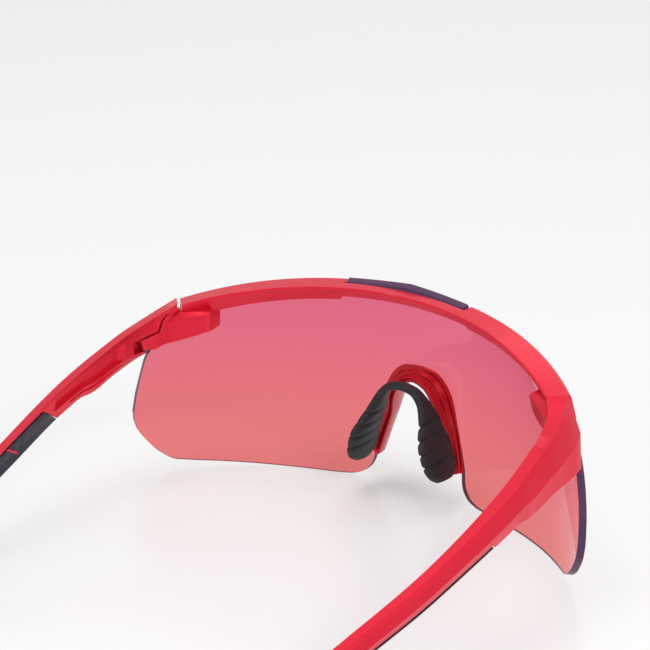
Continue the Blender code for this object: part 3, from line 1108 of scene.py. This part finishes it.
@dataclass
class NoseSaddle:
    """The solid rubber saddle: a slim strap and two ribbed wings."""

    path: ArchPath = ArchPath((
        (12.9, 8.6, 8.4, 3.4, 1.0), (12.6, 9.0, 10.0, 5.5, 1.4), (11.8, 9.6, 13.0, 6.6, 1.6),
        (10.7, 10.0, 16.8, 6.5, 1.7), (9.4, 9.7, 20.0, 5.5, 1.6), (7.8, 8.9, 24.0, 3.8, 1.4),
        (6.0, 9.0, 27.6, 2.2, 1.2), (3.4, 9.1, 29.9, 1.7, 1.1), (0.0, 9.1, 30.5, 1.6, 1.1),
    ), 2)
    steps: int = 240
    round_points: int = 44
    rib_pitch: float = 3.1
    rib_depth: float = 0.7
    ribbed: tuple[float, float] = (10.8, 25.5)

    def rib(self, height: float, turn: float) -> float:
        """Give how deep a diagonal groove presses the wing in.

        Args:
            height: Height of the section.
            turn: Angle round the section, 0 at the edge nearest the face.

        Returns:
            Share of the groove's full depth.
        """
        phase = (height + 0.8 * cos(turn)) / self.rib_pitch
        notch = exp(-(((phase % 1.0) - 0.5) / 0.12) ** 2)
        fade = max(0.0, (cos(turn) + 0.62) / 1.62) ** 0.7
        low, high = self.ribbed
        ends = fraction((high - height) / 2.0) * fraction((height - low) / 1.6)
        return notch * fade * ends

    def build(self) -> bpy.types.Object:
        """Build the saddle.

        Returns:
            The saddle.
        """
        rows = self.path.rows(self.steps)
        rings = []
        for (across, back, height, deep, thick), normal in zip(rows, self.path.normals(rows)):
            centre = Vector((across, back - FORM.forward, height))
            ring = []
            for turn in spread(0.0, 2.0 * pi, self.round_points)[:-1]:
                press = self.rib_depth * self.rib(height, turn)
                inward, outward = (deep - press) * cos(turn), (thick - press) * sin(turn)
                ring.append((centre + (Vector((0.0, inward, 0.0)) + normal * outward)) * MM)
            rings.append(ring)
        return to_object("nose_saddle", skin(rings), sharp=60.0)

    def dress(self, piece: bpy.types.Object, rubber: bpy.types.Material) -> None:
        """Give the saddle its black rubber."""
        piece.data.materials.append(rubber)
        settle(piece, "front", "nose_pad")


@dataclass
class HingePin:
    """A steel pin with rounded rims and dished ends."""

    side: Side
    rounding: float = 0.12
    dish_rim: float = 0.2
    dish_depth: float = 0.1

    def build(self) -> bpy.types.Object:
        """Build the pin.

        Returns:
            The pin.
        """
        bm = HINGE.bar(HINGE.pin_radius, HINGE.pin_start, HINGE.pin_finish, 36)
        caps = [face for face in bm.faces if len(face.verts) > 4]
        rims = list(dict.fromkeys(edge for face in caps for edge in face.edges))
        round_edges(bm, rims, self.rounding, 3, held=False)
        caps = [face for face in bm.faces if len(face.verts) > 4]
        bmesh.ops.inset_region(bm, faces=caps, thickness=self.dish_rim * MM, depth=-self.dish_depth * MM)
        return to_object(f"{self.side.word}_steel_pin", bm, self.side)

    def dress(self, piece: bpy.types.Object, steel: bpy.types.Material) -> None:
        """Give the pin its steel."""
        piece.data.materials.append(steel)
        settle(piece, "front", f"{self.side.word}_hinge_pin")


def blank_material(name: str) -> bpy.types.Material:
    """Make a material with an empty node tree.

    Args:
        name: The material's name.

    Returns:
        The material.
    """
    material = bpy.data.materials.new(name)
    material.use_nodes = True
    material.node_tree.nodes.clear()
    return material


@dataclass(frozen=True)
class PlasticFinish:
    """A moulded, lacquered plastic."""

    name: str
    face: Colour
    shade: Colour
    # Lighter red painted on the sharpest corners as a highlight
    ridge_highlight: Colour
    smooth: float
    coarse: float
    pearl: float
    coat: float
    coat_roughness: float
    grain: float

    def make(self) -> bpy.types.Material:
        """Write the plastic's nodes.

        Returns:
            The material.
        """
        material = blank_material(self.name)
        nodes, links = material.node_tree.nodes, material.node_tree.links

        place_frame = nodes.new("NodeFrame")
        place_frame.label = "Place on the piece"
        colour_frame = nodes.new("NodeFrame")
        colour_frame.label = "Pearl colour and painted ridge highlights"
        surface_frame = nodes.new("NodeFrame")
        surface_frame.label = "Lacquer ripple and mould grain"

        place = nodes.new("ShaderNodeTexCoord")
        place.label = "Piece's own place"
        place.location = (-1500, 100)
        place.parent = place_frame
        scale = nodes.new("ShaderNodeMapping")
        scale.label = "Stretch along the run"
        scale.location = (-1300, 100)
        scale.parent = place_frame
        scale.inputs["Scale"].default_value = (1.0, 0.7, 1.0)

        cloud = nodes.new("ShaderNodeTexNoise")
        cloud.label = "Slow pigment drift"
        cloud.location = (-1050, 500)
        cloud.parent = colour_frame
        cloud.inputs["Scale"].default_value = 55.0
        cloud.inputs["Detail"].default_value = 3.0
        blend = nodes.new("ShaderNodeMix")
        blend.data_type = "RGBA"
        blend.label = "Face colour to shade"
        blend.location = (-800, 500)
        blend.parent = colour_frame
        blend.inputs[6].default_value = (*self.face, 1.0)
        blend.inputs[7].default_value = (*self.shade, 1.0)
        flake = nodes.new("ShaderNodeTexVoronoi")
        flake.label = "Pearl flakes"
        flake.location = (-1050, 760)
        flake.parent = colour_frame
        flake.inputs["Scale"].default_value = 5200.0
        flake_range = nodes.new("ShaderNodeMapRange")
        flake_range.label = "Faint flake brightness"
        flake_range.location = (-800, 760)
        flake_range.parent = colour_frame
        flake_range.inputs["To Min"].default_value = 0.9
        flake_range.inputs["To Max"].default_value = 1.12
        flaked = nodes.new("ShaderNodeVectorMath")
        flaked.operation = "SCALE"
        flaked.label = "Colour with flakes"
        flaked.location = (-580, 620)
        flaked.parent = colour_frame
        edges = nodes.new("ShaderNodeNewGeometry")
        edges.label = "Corners of the moulding"
        edges.location = (-1050, 260)
        edges.parent = colour_frame
        edge_range = nodes.new("ShaderNodeMapRange")
        edge_range.label = "Only the sharpest corners"
        edge_range.location = (-800, 260)
        edge_range.parent = colour_frame
        edge_range.inputs["From Min"].default_value = 0.52
        edge_range.inputs["From Max"].default_value = 0.62
        edge_range.inputs["To Max"].default_value = 0.45
        # Painted highlight: the sharpest convex corners are mixed towards the lighter red, standing in for
        # light caught on the ridges
        ridge_highlight_mix = nodes.new("ShaderNodeMix")
        ridge_highlight_mix.data_type = "RGBA"
        ridge_highlight_mix.label = "Painted ridge highlight"
        ridge_highlight_mix.location = (-380, 480)
        ridge_highlight_mix.parent = colour_frame
        ridge_highlight_mix.inputs[7].default_value = (*self.ridge_highlight, 1.0)

        patch = nodes.new("ShaderNodeTexNoise")
        patch.label = "Handled patches"
        patch.location = (-1050, -40)
        patch.parent = surface_frame
        patch.inputs["Scale"].default_value = 130.0
        patch.inputs["Detail"].default_value = 5.0
        gloss = nodes.new("ShaderNodeMapRange")
        gloss.label = "Smooth to coarse"
        gloss.location = (-800, -40)
        gloss.parent = surface_frame
        gloss.inputs["From Min"].default_value = 0.3
        gloss.inputs["From Max"].default_value = 0.7
        gloss.inputs["To Min"].default_value = self.smooth
        gloss.inputs["To Max"].default_value = self.coarse
        ripple = nodes.new("ShaderNodeTexNoise")
        ripple.label = "Lacquer ripple"
        ripple.location = (-1050, -300)
        ripple.parent = surface_frame
        ripple.inputs["Scale"].default_value = 700.0
        ripple.inputs["Detail"].default_value = 1.0
        ripple_bump = nodes.new("ShaderNodeBump")
        ripple_bump.label = "Ripple height"
        ripple_bump.location = (-800, -300)
        ripple_bump.parent = surface_frame
        ripple_bump.inputs["Strength"].default_value = 0.12
        ripple_bump.inputs["Distance"].default_value = 0.00006
        grain = nodes.new("ShaderNodeTexNoise")
        grain.label = "Mould grain"
        grain.location = (-1050, -560)
        grain.parent = surface_frame
        grain.inputs["Scale"].default_value = 6500.0
        grain.inputs["Detail"].default_value = 2.0
        grain_bump = nodes.new("ShaderNodeBump")
        grain_bump.label = "Grain height"
        grain_bump.location = (-580, -420)
        grain_bump.parent = surface_frame
        grain_bump.inputs["Strength"].default_value = self.grain
        grain_bump.inputs["Distance"].default_value = 0.00003

        shader = nodes.new("ShaderNodeBsdfPrincipled")
        shader.label = "Lacquered plastic"
        shader.location = (-100, 200)
        shader.inputs["Metallic"].default_value = self.pearl
        shader.inputs["Specular IOR Level"].default_value = 0.2
        shader.inputs["Coat Weight"].default_value = self.coat
        shader.inputs["Coat Roughness"].default_value = self.coat_roughness
        output = nodes.new("ShaderNodeOutputMaterial")
        output.label = "Surface"
        output.location = (200, 200)

        links.new(place.outputs["Object"], scale.inputs["Vector"])
        links.new(scale.outputs["Vector"], cloud.inputs["Vector"])
        links.new(scale.outputs["Vector"], flake.inputs["Vector"])
        links.new(scale.outputs["Vector"], patch.inputs["Vector"])
        links.new(scale.outputs["Vector"], ripple.inputs["Vector"])
        links.new(scale.outputs["Vector"], grain.inputs["Vector"])
        links.new(cloud.outputs["Fac"], blend.inputs[0])
        links.new(flake.outputs["Color"], flake_range.inputs["Value"])
        links.new(blend.outputs[2], flaked.inputs[0])
        links.new(flake_range.outputs["Result"], flaked.inputs["Scale"])
        links.new(edges.outputs["Pointiness"], edge_range.inputs["Value"])
        links.new(edge_range.outputs["Result"], ridge_highlight_mix.inputs[0])
        links.new(flaked.outputs["Vector"], ridge_highlight_mix.inputs[6])
        links.new(ridge_highlight_mix.outputs[2], shader.inputs["Base Color"])
        links.new(patch.outputs["Fac"], gloss.inputs["Value"])
        links.new(gloss.outputs["Result"], shader.inputs["Roughness"])
        links.new(ripple.outputs["Fac"], ripple_bump.inputs["Height"])
        links.new(grain.outputs["Fac"], grain_bump.inputs["Height"])
        links.new(ripple_bump.outputs["Normal"], grain_bump.inputs["Normal"])
        links.new(grain_bump.outputs["Normal"], shader.inputs["Normal"])
        links.new(shader.outputs["BSDF"], output.inputs["Surface"])
        return material


@dataclass(frozen=True)
class RubberFinish:
    """A soft matte rubber, rubbed shinier where skin touches it."""

    name: str
    face: Colour
    shade: Colour
    # Paler colour for the sharpest ridges: partly dust, partly a painted sheen
    dust_and_sheen: Colour
    smooth: float
    coarse: float
    sheen: float

    def make(self) -> bpy.types.Material:
        """Write the rubber's nodes.

        Returns:
            The material.
        """
        material = blank_material(self.name)
        nodes, links = material.node_tree.nodes, material.node_tree.links

        colour_frame = nodes.new("NodeFrame")
        colour_frame.label = "Rubber colour and bloom"
        surface_frame = nodes.new("NodeFrame")
        surface_frame.label = "Stipple and rubbed patches"

        place = nodes.new("ShaderNodeTexCoord")
        place.label = "Piece's own place"
        place.location = (-1300, 100)
        cloud = nodes.new("ShaderNodeTexNoise")
        cloud.label = "Uneven bloom"
        cloud.location = (-1050, 460)
        cloud.parent = colour_frame
        cloud.inputs["Scale"].default_value = 260.0
        cloud.inputs["Detail"].default_value = 6.0
        blend = nodes.new("ShaderNodeMix")
        blend.data_type = "RGBA"
        blend.label = "Face colour to shade"
        blend.location = (-800, 460)
        blend.parent = colour_frame
        blend.inputs[6].default_value = (*self.shade, 1.0)
        blend.inputs[7].default_value = (*self.face, 1.0)
        edges = nodes.new("ShaderNodeNewGeometry")
        edges.label = "Ridges of the moulding"
        edges.location = (-1050, 220)
        edges.parent = colour_frame
        edge_range = nodes.new("ShaderNodeMapRange")
        edge_range.label = "Only the ridges"
        edge_range.location = (-800, 220)
        edge_range.parent = colour_frame
        edge_range.inputs["From Min"].default_value = 0.51
        edge_range.inputs["From Max"].default_value = 0.62
        edge_range.inputs["To Max"].default_value = 0.5
        # Partly dust and partly painted sheen: the sharpest ridges are mixed towards the paler colour
        dust_and_sheen_mix = nodes.new("ShaderNodeMix")
        dust_and_sheen_mix.data_type = "RGBA"
        dust_and_sheen_mix.label = "Dust and painted sheen on ridges"
        dust_and_sheen_mix.location = (-560, 400)
        dust_and_sheen_mix.parent = colour_frame
        dust_and_sheen_mix.inputs[7].default_value = (*self.dust_and_sheen, 1.0)

        patch = nodes.new("ShaderNodeTexNoise")
        patch.label = "Rubbed patches"
        patch.location = (-1050, -60)
        patch.parent = surface_frame
        patch.inputs["Scale"].default_value = 170.0
        patch.inputs["Detail"].default_value = 4.0
        gloss = nodes.new("ShaderNodeMapRange")
        gloss.label = "Smooth to coarse"
        gloss.location = (-800, -60)
        gloss.parent = surface_frame
        gloss.inputs["From Min"].default_value = 0.3
        gloss.inputs["From Max"].default_value = 0.7
        gloss.inputs["To Min"].default_value = self.smooth
        gloss.inputs["To Max"].default_value = self.coarse
        stipple = nodes.new("ShaderNodeTexVoronoi")
        stipple.label = "Fine stipple"
        stipple.location = (-1050, -320)
        stipple.parent = surface_frame
        stipple.inputs["Scale"].default_value = 2600.0
        stipple_bump = nodes.new("ShaderNodeBump")
        stipple_bump.label = "Stipple height"
        stipple_bump.location = (-800, -320)
        stipple_bump.parent = surface_frame
        stipple_bump.inputs["Strength"].default_value = 0.35
        stipple_bump.inputs["Distance"].default_value = 0.00006

        shader = nodes.new("ShaderNodeBsdfPrincipled")
        shader.label = "Soft rubber"
        shader.location = (-250, 200)
        shader.inputs["IOR"].default_value = 1.45
        shader.inputs["Sheen Weight"].default_value = self.sheen
        shader.inputs["Sheen Roughness"].default_value = 0.5
        output = nodes.new("ShaderNodeOutputMaterial")
        output.label = "Surface"
        output.location = (60, 200)

        links.new(place.outputs["Object"], cloud.inputs["Vector"])
        links.new(place.outputs["Object"], patch.inputs["Vector"])
        links.new(place.outputs["Object"], stipple.inputs["Vector"])
        links.new(cloud.outputs["Fac"], blend.inputs[0])
        links.new(edges.outputs["Pointiness"], edge_range.inputs["Value"])
        links.new(edge_range.outputs["Result"], dust_and_sheen_mix.inputs[0])
        links.new(blend.outputs[2], dust_and_sheen_mix.inputs[6])
        links.new(dust_and_sheen_mix.outputs[2], shader.inputs["Base Color"])
        links.new(patch.outputs["Fac"], gloss.inputs["Value"])
        links.new(gloss.outputs["Result"], shader.inputs["Roughness"])
        links.new(stipple.outputs["Distance"], stipple_bump.inputs["Height"])
        links.new(stipple_bump.outputs["Normal"], shader.inputs["Normal"])
        links.new(shader.outputs["BSDF"], output.inputs["Surface"])
        return material


def tinted_lens(name: str) -> bpy.types.Material:
    """Write the lens's clear tint, rose at the top and amber low down, with painted shade along its top edge
    inside the brow.

    Args:
        name: The material's name.

    Returns:
        The material.
    """
    material = blank_material(name)
    nodes, links = material.node_tree.nodes, material.node_tree.links

    tint_frame = nodes.new("NodeFrame")
    tint_frame.label = "Tint from top to bottom"
    coat_frame = nodes.new("NodeFrame")
    coat_frame.label = "Hard coat and handling marks"

    place = nodes.new("ShaderNodeTexCoord")
    place.label = "Lens's own place"
    place.location = (-1300, 200)
    split = nodes.new("ShaderNodeSeparateXYZ")
    split.label = "Height on the lens"
    split.location = (-1100, 300)
    split.parent = tint_frame
    height = nodes.new("ShaderNodeMapRange")
    height.label = "Lower edge to upper edge"
    height.location = (-900, 300)
    height.parent = tint_frame
    height.inputs["From Min"].default_value = 0.0
    height.inputs["From Max"].default_value = 0.0555
    tint = nodes.new("ShaderNodeValToRGB")
    tint.label = "Amber to rose"
    tint.location = (-680, 300)
    tint.parent = tint_frame
    tint.color_ramp.elements[0].position = 0.0
    tint.color_ramp.elements[0].color = (0.86, 0.225, 0.215, 1.0)
    tint.color_ramp.elements[1].position = 0.9
    tint.color_ramp.elements[1].color = (0.78, 0.14, 0.245, 1.0)
    # Painted shade: the lens's top, where it runs up into the brow's groove, is tinted nearly black
    painted_groove_shade = tint.color_ramp.elements.new(0.97)
    painted_groove_shade.color = (0.07, 0.05, 0.11, 1.0)
    middle = tint.color_ramp.elements.new(0.45)
    middle.color = (0.82, 0.178, 0.222, 1.0)

    smear = nodes.new("ShaderNodeTexNoise")
    smear.label = "Handling marks"
    smear.location = (-1100, -60)
    smear.parent = coat_frame
    smear.inputs["Scale"].default_value = 90.0
    smear.inputs["Detail"].default_value = 6.0
    smear_range = nodes.new("ShaderNodeMapRange")
    smear_range.label = "Clear to faintly smeared"
    smear_range.location = (-900, -60)
    smear_range.parent = coat_frame
    smear_range.inputs["From Min"].default_value = 0.45
    smear_range.inputs["From Max"].default_value = 0.8
    smear_range.inputs["To Min"].default_value = 0.015
    smear_range.inputs["To Max"].default_value = 0.05
    wave = nodes.new("ShaderNodeTexNoise")
    wave.label = "Moulding wave"
    wave.location = (-1100, -320)
    wave.parent = coat_frame
    wave.inputs["Scale"].default_value = 45.0
    wave.inputs["Detail"].default_value = 0.0
    wave_bump = nodes.new("ShaderNodeBump")
    wave_bump.label = "Wave height"
    wave_bump.location = (-680, -260)
    wave_bump.parent = coat_frame
    wave_bump.inputs["Strength"].default_value = 0.05
    wave_bump.inputs["Distance"].default_value = 0.0002

    shader = nodes.new("ShaderNodeBsdfPrincipled")
    shader.label = "Tinted polycarbonate"
    shader.location = (-350, 200)
    shader.inputs["IOR"].default_value = 1.22
    shader.inputs["Transmission Weight"].default_value = 1.0
    output = nodes.new("ShaderNodeOutputMaterial")
    output.label = "Surface"
    output.location = (0, 200)

    links.new(place.outputs["Object"], split.inputs["Vector"])
    links.new(split.outputs["Z"], height.inputs["Value"])
    links.new(height.outputs["Result"], tint.inputs["Fac"])
    links.new(tint.outputs["Color"], shader.inputs["Base Color"])
    links.new(place.outputs["Object"], smear.inputs["Vector"])
    links.new(smear.outputs["Fac"], smear_range.inputs["Value"])
    links.new(smear_range.outputs["Result"], shader.inputs["Roughness"])
    links.new(place.outputs["Object"], wave.inputs["Vector"])
    links.new(wave.outputs["Fac"], wave_bump.inputs["Height"])
    links.new(wave_bump.outputs["Normal"], shader.inputs["Normal"])
    links.new(shader.outputs["BSDF"], output.inputs["Surface"])
    return material


def lens_rim(name: str) -> bpy.types.Material:
    """Write the dark polished rim of the lens.

    Args:
        name: The material's name.

    Returns:
        The material.
    """
    material = blank_material(name)
    nodes, links = material.node_tree.nodes, material.node_tree.links

    rim_frame = nodes.new("NodeFrame")
    rim_frame.label = "Cut and polished rim"

    place = nodes.new("ShaderNodeTexCoord")
    place.label = "Rim's own place"
    place.location = (-1000, 100)
    drift = nodes.new("ShaderNodeTexNoise")
    drift.label = "Coating thickness"
    drift.location = (-800, 260)
    drift.parent = rim_frame
    drift.inputs["Scale"].default_value = 120.0
    shades = nodes.new("ShaderNodeMix")
    shades.data_type = "RGBA"
    shades.label = "Navy to plum"
    shades.location = (-580, 260)
    shades.parent = rim_frame
    shades.inputs[6].default_value = (0.045, 0.03, 0.085, 1.0)
    shades.inputs[7].default_value = (0.14, 0.04, 0.1, 1.0)
    cut = nodes.new("ShaderNodeTexNoise")
    cut.label = "Cutter marks"
    cut.location = (-800, -40)
    cut.parent = rim_frame
    cut.inputs["Scale"].default_value = 3000.0
    cut_bump = nodes.new("ShaderNodeBump")
    cut_bump.label = "Cutter mark height"
    cut_bump.location = (-580, -40)
    cut_bump.parent = rim_frame
    cut_bump.inputs["Strength"].default_value = 0.15
    cut_bump.inputs["Distance"].default_value = 0.00004
    polish = nodes.new("ShaderNodeMapRange")
    polish.label = "Uneven polish"
    polish.location = (-580, 60)
    polish.parent = rim_frame
    polish.inputs["To Min"].default_value = 0.3
    polish.inputs["To Max"].default_value = 0.45

    shader = nodes.new("ShaderNodeBsdfPrincipled")
    shader.label = "Coated rim"
    shader.location = (-300, 160)
    shader.inputs["Specular IOR Level"].default_value = 0.25
    output = nodes.new("ShaderNodeOutputMaterial")
    output.label = "Surface"
    output.location = (0, 160)

    links.new(place.outputs["Object"], drift.inputs["Vector"])
    links.new(place.outputs["Object"], cut.inputs["Vector"])
    links.new(drift.outputs["Fac"], shades.inputs[0])
    links.new(shades.outputs[2], shader.inputs["Base Color"])
    links.new(drift.outputs["Fac"], polish.inputs["Value"])
    links.new(polish.outputs["Result"], shader.inputs["Roughness"])
    links.new(cut.outputs["Fac"], cut_bump.inputs["Height"])
    links.new(cut_bump.outputs["Normal"], shader.inputs["Normal"])
    links.new(shader.outputs["BSDF"], output.inputs["Surface"])
    return material


def brushed_steel(name: str) -> bpy.types.Material:
    """Write the hinge pins' turned, blackened steel.

    Args:
        name: The material's name.

    Returns:
        The material.
    """
    material = blank_material(name)
    nodes, links = material.node_tree.nodes, material.node_tree.links

    turned_frame = nodes.new("NodeFrame")
    turned_frame.label = "Turning marks"

    place = nodes.new("ShaderNodeTexCoord")
    place.label = "Pin's own place"
    place.location = (-1000, 100)
    stretch = nodes.new("ShaderNodeMapping")
    stretch.label = "Rings round the pin"
    stretch.location = (-800, 100)
    stretch.parent = turned_frame
    stretch.inputs["Scale"].default_value = (300.0, 300.0, 12000.0)
    marks = nodes.new("ShaderNodeTexNoise")
    marks.label = "Turning marks"
    marks.location = (-600, 100)
    marks.parent = turned_frame
    marks.inputs["Scale"].default_value = 1.0
    shades = nodes.new("ShaderNodeMix")
    shades.data_type = "RGBA"
    shades.label = "Black oxide on steel"
    shades.location = (-400, 260)
    shades.parent = turned_frame
    shades.inputs[6].default_value = (0.06, 0.058, 0.06, 1.0)
    shades.inputs[7].default_value = (0.12, 0.118, 0.12, 1.0)
    polish = nodes.new("ShaderNodeMapRange")
    polish.label = "Uneven polish"
    polish.location = (-400, 20)
    polish.parent = turned_frame
    polish.inputs["To Min"].default_value = 0.22
    polish.inputs["To Max"].default_value = 0.42

    shader = nodes.new("ShaderNodeBsdfPrincipled")
    shader.label = "Steel"
    shader.location = (-150, 160)
    shader.inputs["Metallic"].default_value = 1.0
    output = nodes.new("ShaderNodeOutputMaterial")
    output.label = "Surface"
    output.location = (150, 160)

    links.new(place.outputs["Object"], stretch.inputs["Vector"])
    links.new(stretch.outputs["Vector"], marks.inputs["Vector"])
    links.new(marks.outputs["Fac"], shades.inputs[0])
    links.new(marks.outputs["Fac"], polish.inputs["Value"])
    links.new(shades.outputs[2], shader.inputs["Base Color"])
    links.new(polish.outputs["Result"], shader.inputs["Roughness"])
    links.new(shader.outputs["BSDF"], output.inputs["Surface"])
    return material


def studio_floor(name: str, colour: Colour) -> bpy.types.Material:
    """Write the pale, faintly glossy table.

    Args:
        name: The material's name.
        colour: The table's colour.

    Returns:
        The material.
    """
    material = blank_material(name)
    nodes, links = material.node_tree.nodes, material.node_tree.links

    table_frame = nodes.new("NodeFrame")
    table_frame.label = "Faint gloss of the table"

    place = nodes.new("ShaderNodeTexCoord")
    place.label = "Table's own place"
    place.location = (-800, 0)
    haze = nodes.new("ShaderNodeTexNoise")
    haze.label = "Uneven haze"
    haze.location = (-600, 0)
    haze.parent = table_frame
    haze.inputs["Scale"].default_value = 25.0
    gloss = nodes.new("ShaderNodeMapRange")
    gloss.label = "Hazy reflection"
    gloss.location = (-400, 0)
    gloss.parent = table_frame
    gloss.inputs["To Min"].default_value = 0.2
    gloss.inputs["To Max"].default_value = 0.26

    shader = nodes.new("ShaderNodeBsdfPrincipled")
    shader.label = "Pale table"
    shader.location = (-150, 160)
    shader.inputs["Base Color"].default_value = (*colour, 1.0)
    shader.inputs["Specular IOR Level"].default_value = 0.25
    output = nodes.new("ShaderNodeOutputMaterial")
    output.label = "Surface"
    output.location = (150, 160)

    links.new(place.outputs["Object"], haze.inputs["Vector"])
    links.new(haze.outputs["Fac"], gloss.inputs["Value"])
    links.new(gloss.outputs["Result"], shader.inputs["Roughness"])
    links.new(shader.outputs["BSDF"], output.inputs["Surface"])
    return material


@dataclass(frozen=True)
class Softbox:
    """A soft square light, aimed at a point."""

    name: str
    place: tuple[float, float, float]
    size: float
    power: float
    aim: tuple[float, float, float] = (0.0, 0.0, 0.02)

    def build(self) -> bpy.types.Object:
        """Build the light.

        Returns:
            The light's object.
        """
        data = bpy.data.lights.new(self.name, "AREA")
        data.shape = "SQUARE"
        data.size = self.size
        data.energy = self.power
        lamp = bpy.data.objects.new(self.name, data)
        bpy.context.scene.collection.objects.link(lamp)
        lamp.location = self.place
        lamp.rotation_euler = (Vector(self.aim) - Vector(self.place)).to_track_quat("-Z", "Y").to_euler()
        return lamp


@dataclass
class Studio:
    """A pale table under soft light, seen from behind the wearer's right shoulder."""

    azimuth: float = 217.42738
    elevation: float = 18.62704
    distance: float = 0.592458
    target: tuple[float, float, float] = (0.0, -0.030053, 0.055354)
    lens: float = 137.67
    table_size: float = 6.0
    table_colour: Colour = (0.9, 0.9, 0.9)
    sky: float = 0.77
    seen_sky: float = 0.93
    lights: tuple[Softbox, ...] = (
        Softbox("overhead_softbox", place=(0.15, 0.1, 1.2), size=0.7, power=3.0),
        Softbox("front_softbox", place=(0.3, -1.0, 0.9), size=0.5, power=1.0),
        Softbox("shoulder_softbox", place=(-0.9, 0.35, 0.75), size=0.45, power=3.2),
    )

    def build(self) -> None:
        """Build the table, the sky, the lights and the camera."""
        self.build_table()
        self.build_sky()
        for light in self.lights:
            light.build()
        self.build_camera()
        bpy.context.scene.view_settings.view_transform = "Standard"

    def build_table(self) -> None:
        """Lay the table at the surface that the glasses stand on."""
        bm = bmesh.new()
        bmesh.ops.create_grid(bm, x_segments=2, y_segments=2, size=self.table_size)
        table = to_object("studio_table", bm)
        table.data.materials.append(studio_floor("pale_table", self.table_colour))

    def build_sky(self) -> None:
        """Light the scene evenly from all round."""
        world = bpy.data.worlds.new("studio_sky")
        world.use_nodes = True
        nodes, links = world.node_tree.nodes, world.node_tree.links
        nodes.clear()
        rays = nodes.new("ShaderNodeLightPath")
        rays.label = "Seen straight or as light"
        rays.location = (-600, 200)
        strength = nodes.new("ShaderNodeMapRange")
        strength.label = "Light level to seen level"
        strength.location = (-400, 200)
        strength.inputs["To Min"].default_value = self.sky
        strength.inputs["To Max"].default_value = self.seen_sky
        glow = nodes.new("ShaderNodeBackground")
        glow.label = "Even glow"
        glow.location = (-200, 200)
        glow.inputs["Color"].default_value = (1.0, 1.0, 1.0, 1.0)
        output = nodes.new("ShaderNodeOutputWorld")
        output.label = "Sky"
        output.location = (0, 200)
        links.new(rays.outputs["Is Camera Ray"], strength.inputs["Value"])
        links.new(strength.outputs["Result"], glow.inputs["Strength"])
        links.new(glow.outputs["Background"], output.inputs["Surface"])
        bpy.context.scene.world = world

    def build_camera(self) -> None:
        """Set up the camera."""
        turn, rise = radians(self.azimuth), radians(self.elevation)
        back = Vector((sin(turn) * cos(rise), -cos(turn) * cos(rise), sin(rise)))
        data = bpy.data.cameras.new("studio_camera")
        data.lens = self.lens
        data.sensor_width = 36.0
        data.clip_start = 0.01
        camera = bpy.data.objects.new("studio_camera", data)
        bpy.context.scene.collection.objects.link(camera)
        camera.location = Vector(self.target) + back * self.distance
        right = Vector((cos(turn), sin(turn), 0.0))
        up = back.cross(right)
        camera.rotation_euler = Matrix((right, up, back)).transposed().to_euler()
        bpy.context.scene.camera = camera


# The third colour of each plastic is a painted highlight for its sharpest corners
FRAME_RED = PlasticFinish(
    "satin_pearl_red", face=(0.8, 0.02, 0.05), shade=(0.7, 0.014, 0.038), ridge_highlight=(0.95, 0.09, 0.13),
    smooth=0.27, coarse=0.36, pearl=0.5, coat=0.08, coat_roughness=0.14, grain=0.3,
)
CLIP_RED = PlasticFinish(
    "deep_gloss_red", face=(0.56, 0.004, 0.014), shade=(0.46, 0.003, 0.01), ridge_highlight=(0.8, 0.03, 0.06),
    smooth=0.16, coarse=0.24, pearl=0.4, coat=0.25, coat_roughness=0.06, grain=0.08,
)
# The third colour of each rubber is partly dust, partly a painted sheen on its ridges
PAD_BLACK = RubberFinish(
    "black_saddle_rubber", face=(0.014, 0.013, 0.017), shade=(0.009, 0.008, 0.011),
    dust_and_sheen=(0.04, 0.039, 0.048), smooth=0.5, coarse=0.66, sheen=0.03,
)
GRIP_NAVY = RubberFinish(
    "navy_grip_rubber", face=(0.03, 0.029, 0.046), shade=(0.022, 0.021, 0.036),
    dust_and_sheen=(0.07, 0.068, 0.095), smooth=0.52, coarse=0.68, sheen=0.05,
)


def main() -> None:
    """Build the glasses piece by piece, dress them and set up the studio."""
    logging.basicConfig(level=logging.INFO, format="%(name)s: %(message)s")
    frame_red, clip_red = FRAME_RED.make(), CLIP_RED.make()
    pad_black, grip_navy = PAD_BLACK.make(), GRIP_NAVY.make()
    steel = brushed_steel("turned_steel")
    lens = LensShield()
    lens.dress(lens.build())
    brow = BrowBar()
    brow.dress(brow.build(), frame_red)
    clip = NoseClip()
    clip.dress(clip.build(), clip_red)
    saddle = NoseSaddle()
    saddle.dress(saddle.build(), pad_black)
    for side in Side:
        arm = FoldingArm(side)
        arm.dress(arm.build(), frame_red)
        grip = ArmGrip(side)
        grip.dress(grip.build(), grip.build_bar(), grip_navy, frame_red)
        pin = HingePin(side)
        pin.dress(pin.build(), steel)
    Studio().build()


if __name__ == "__main__":
    main()
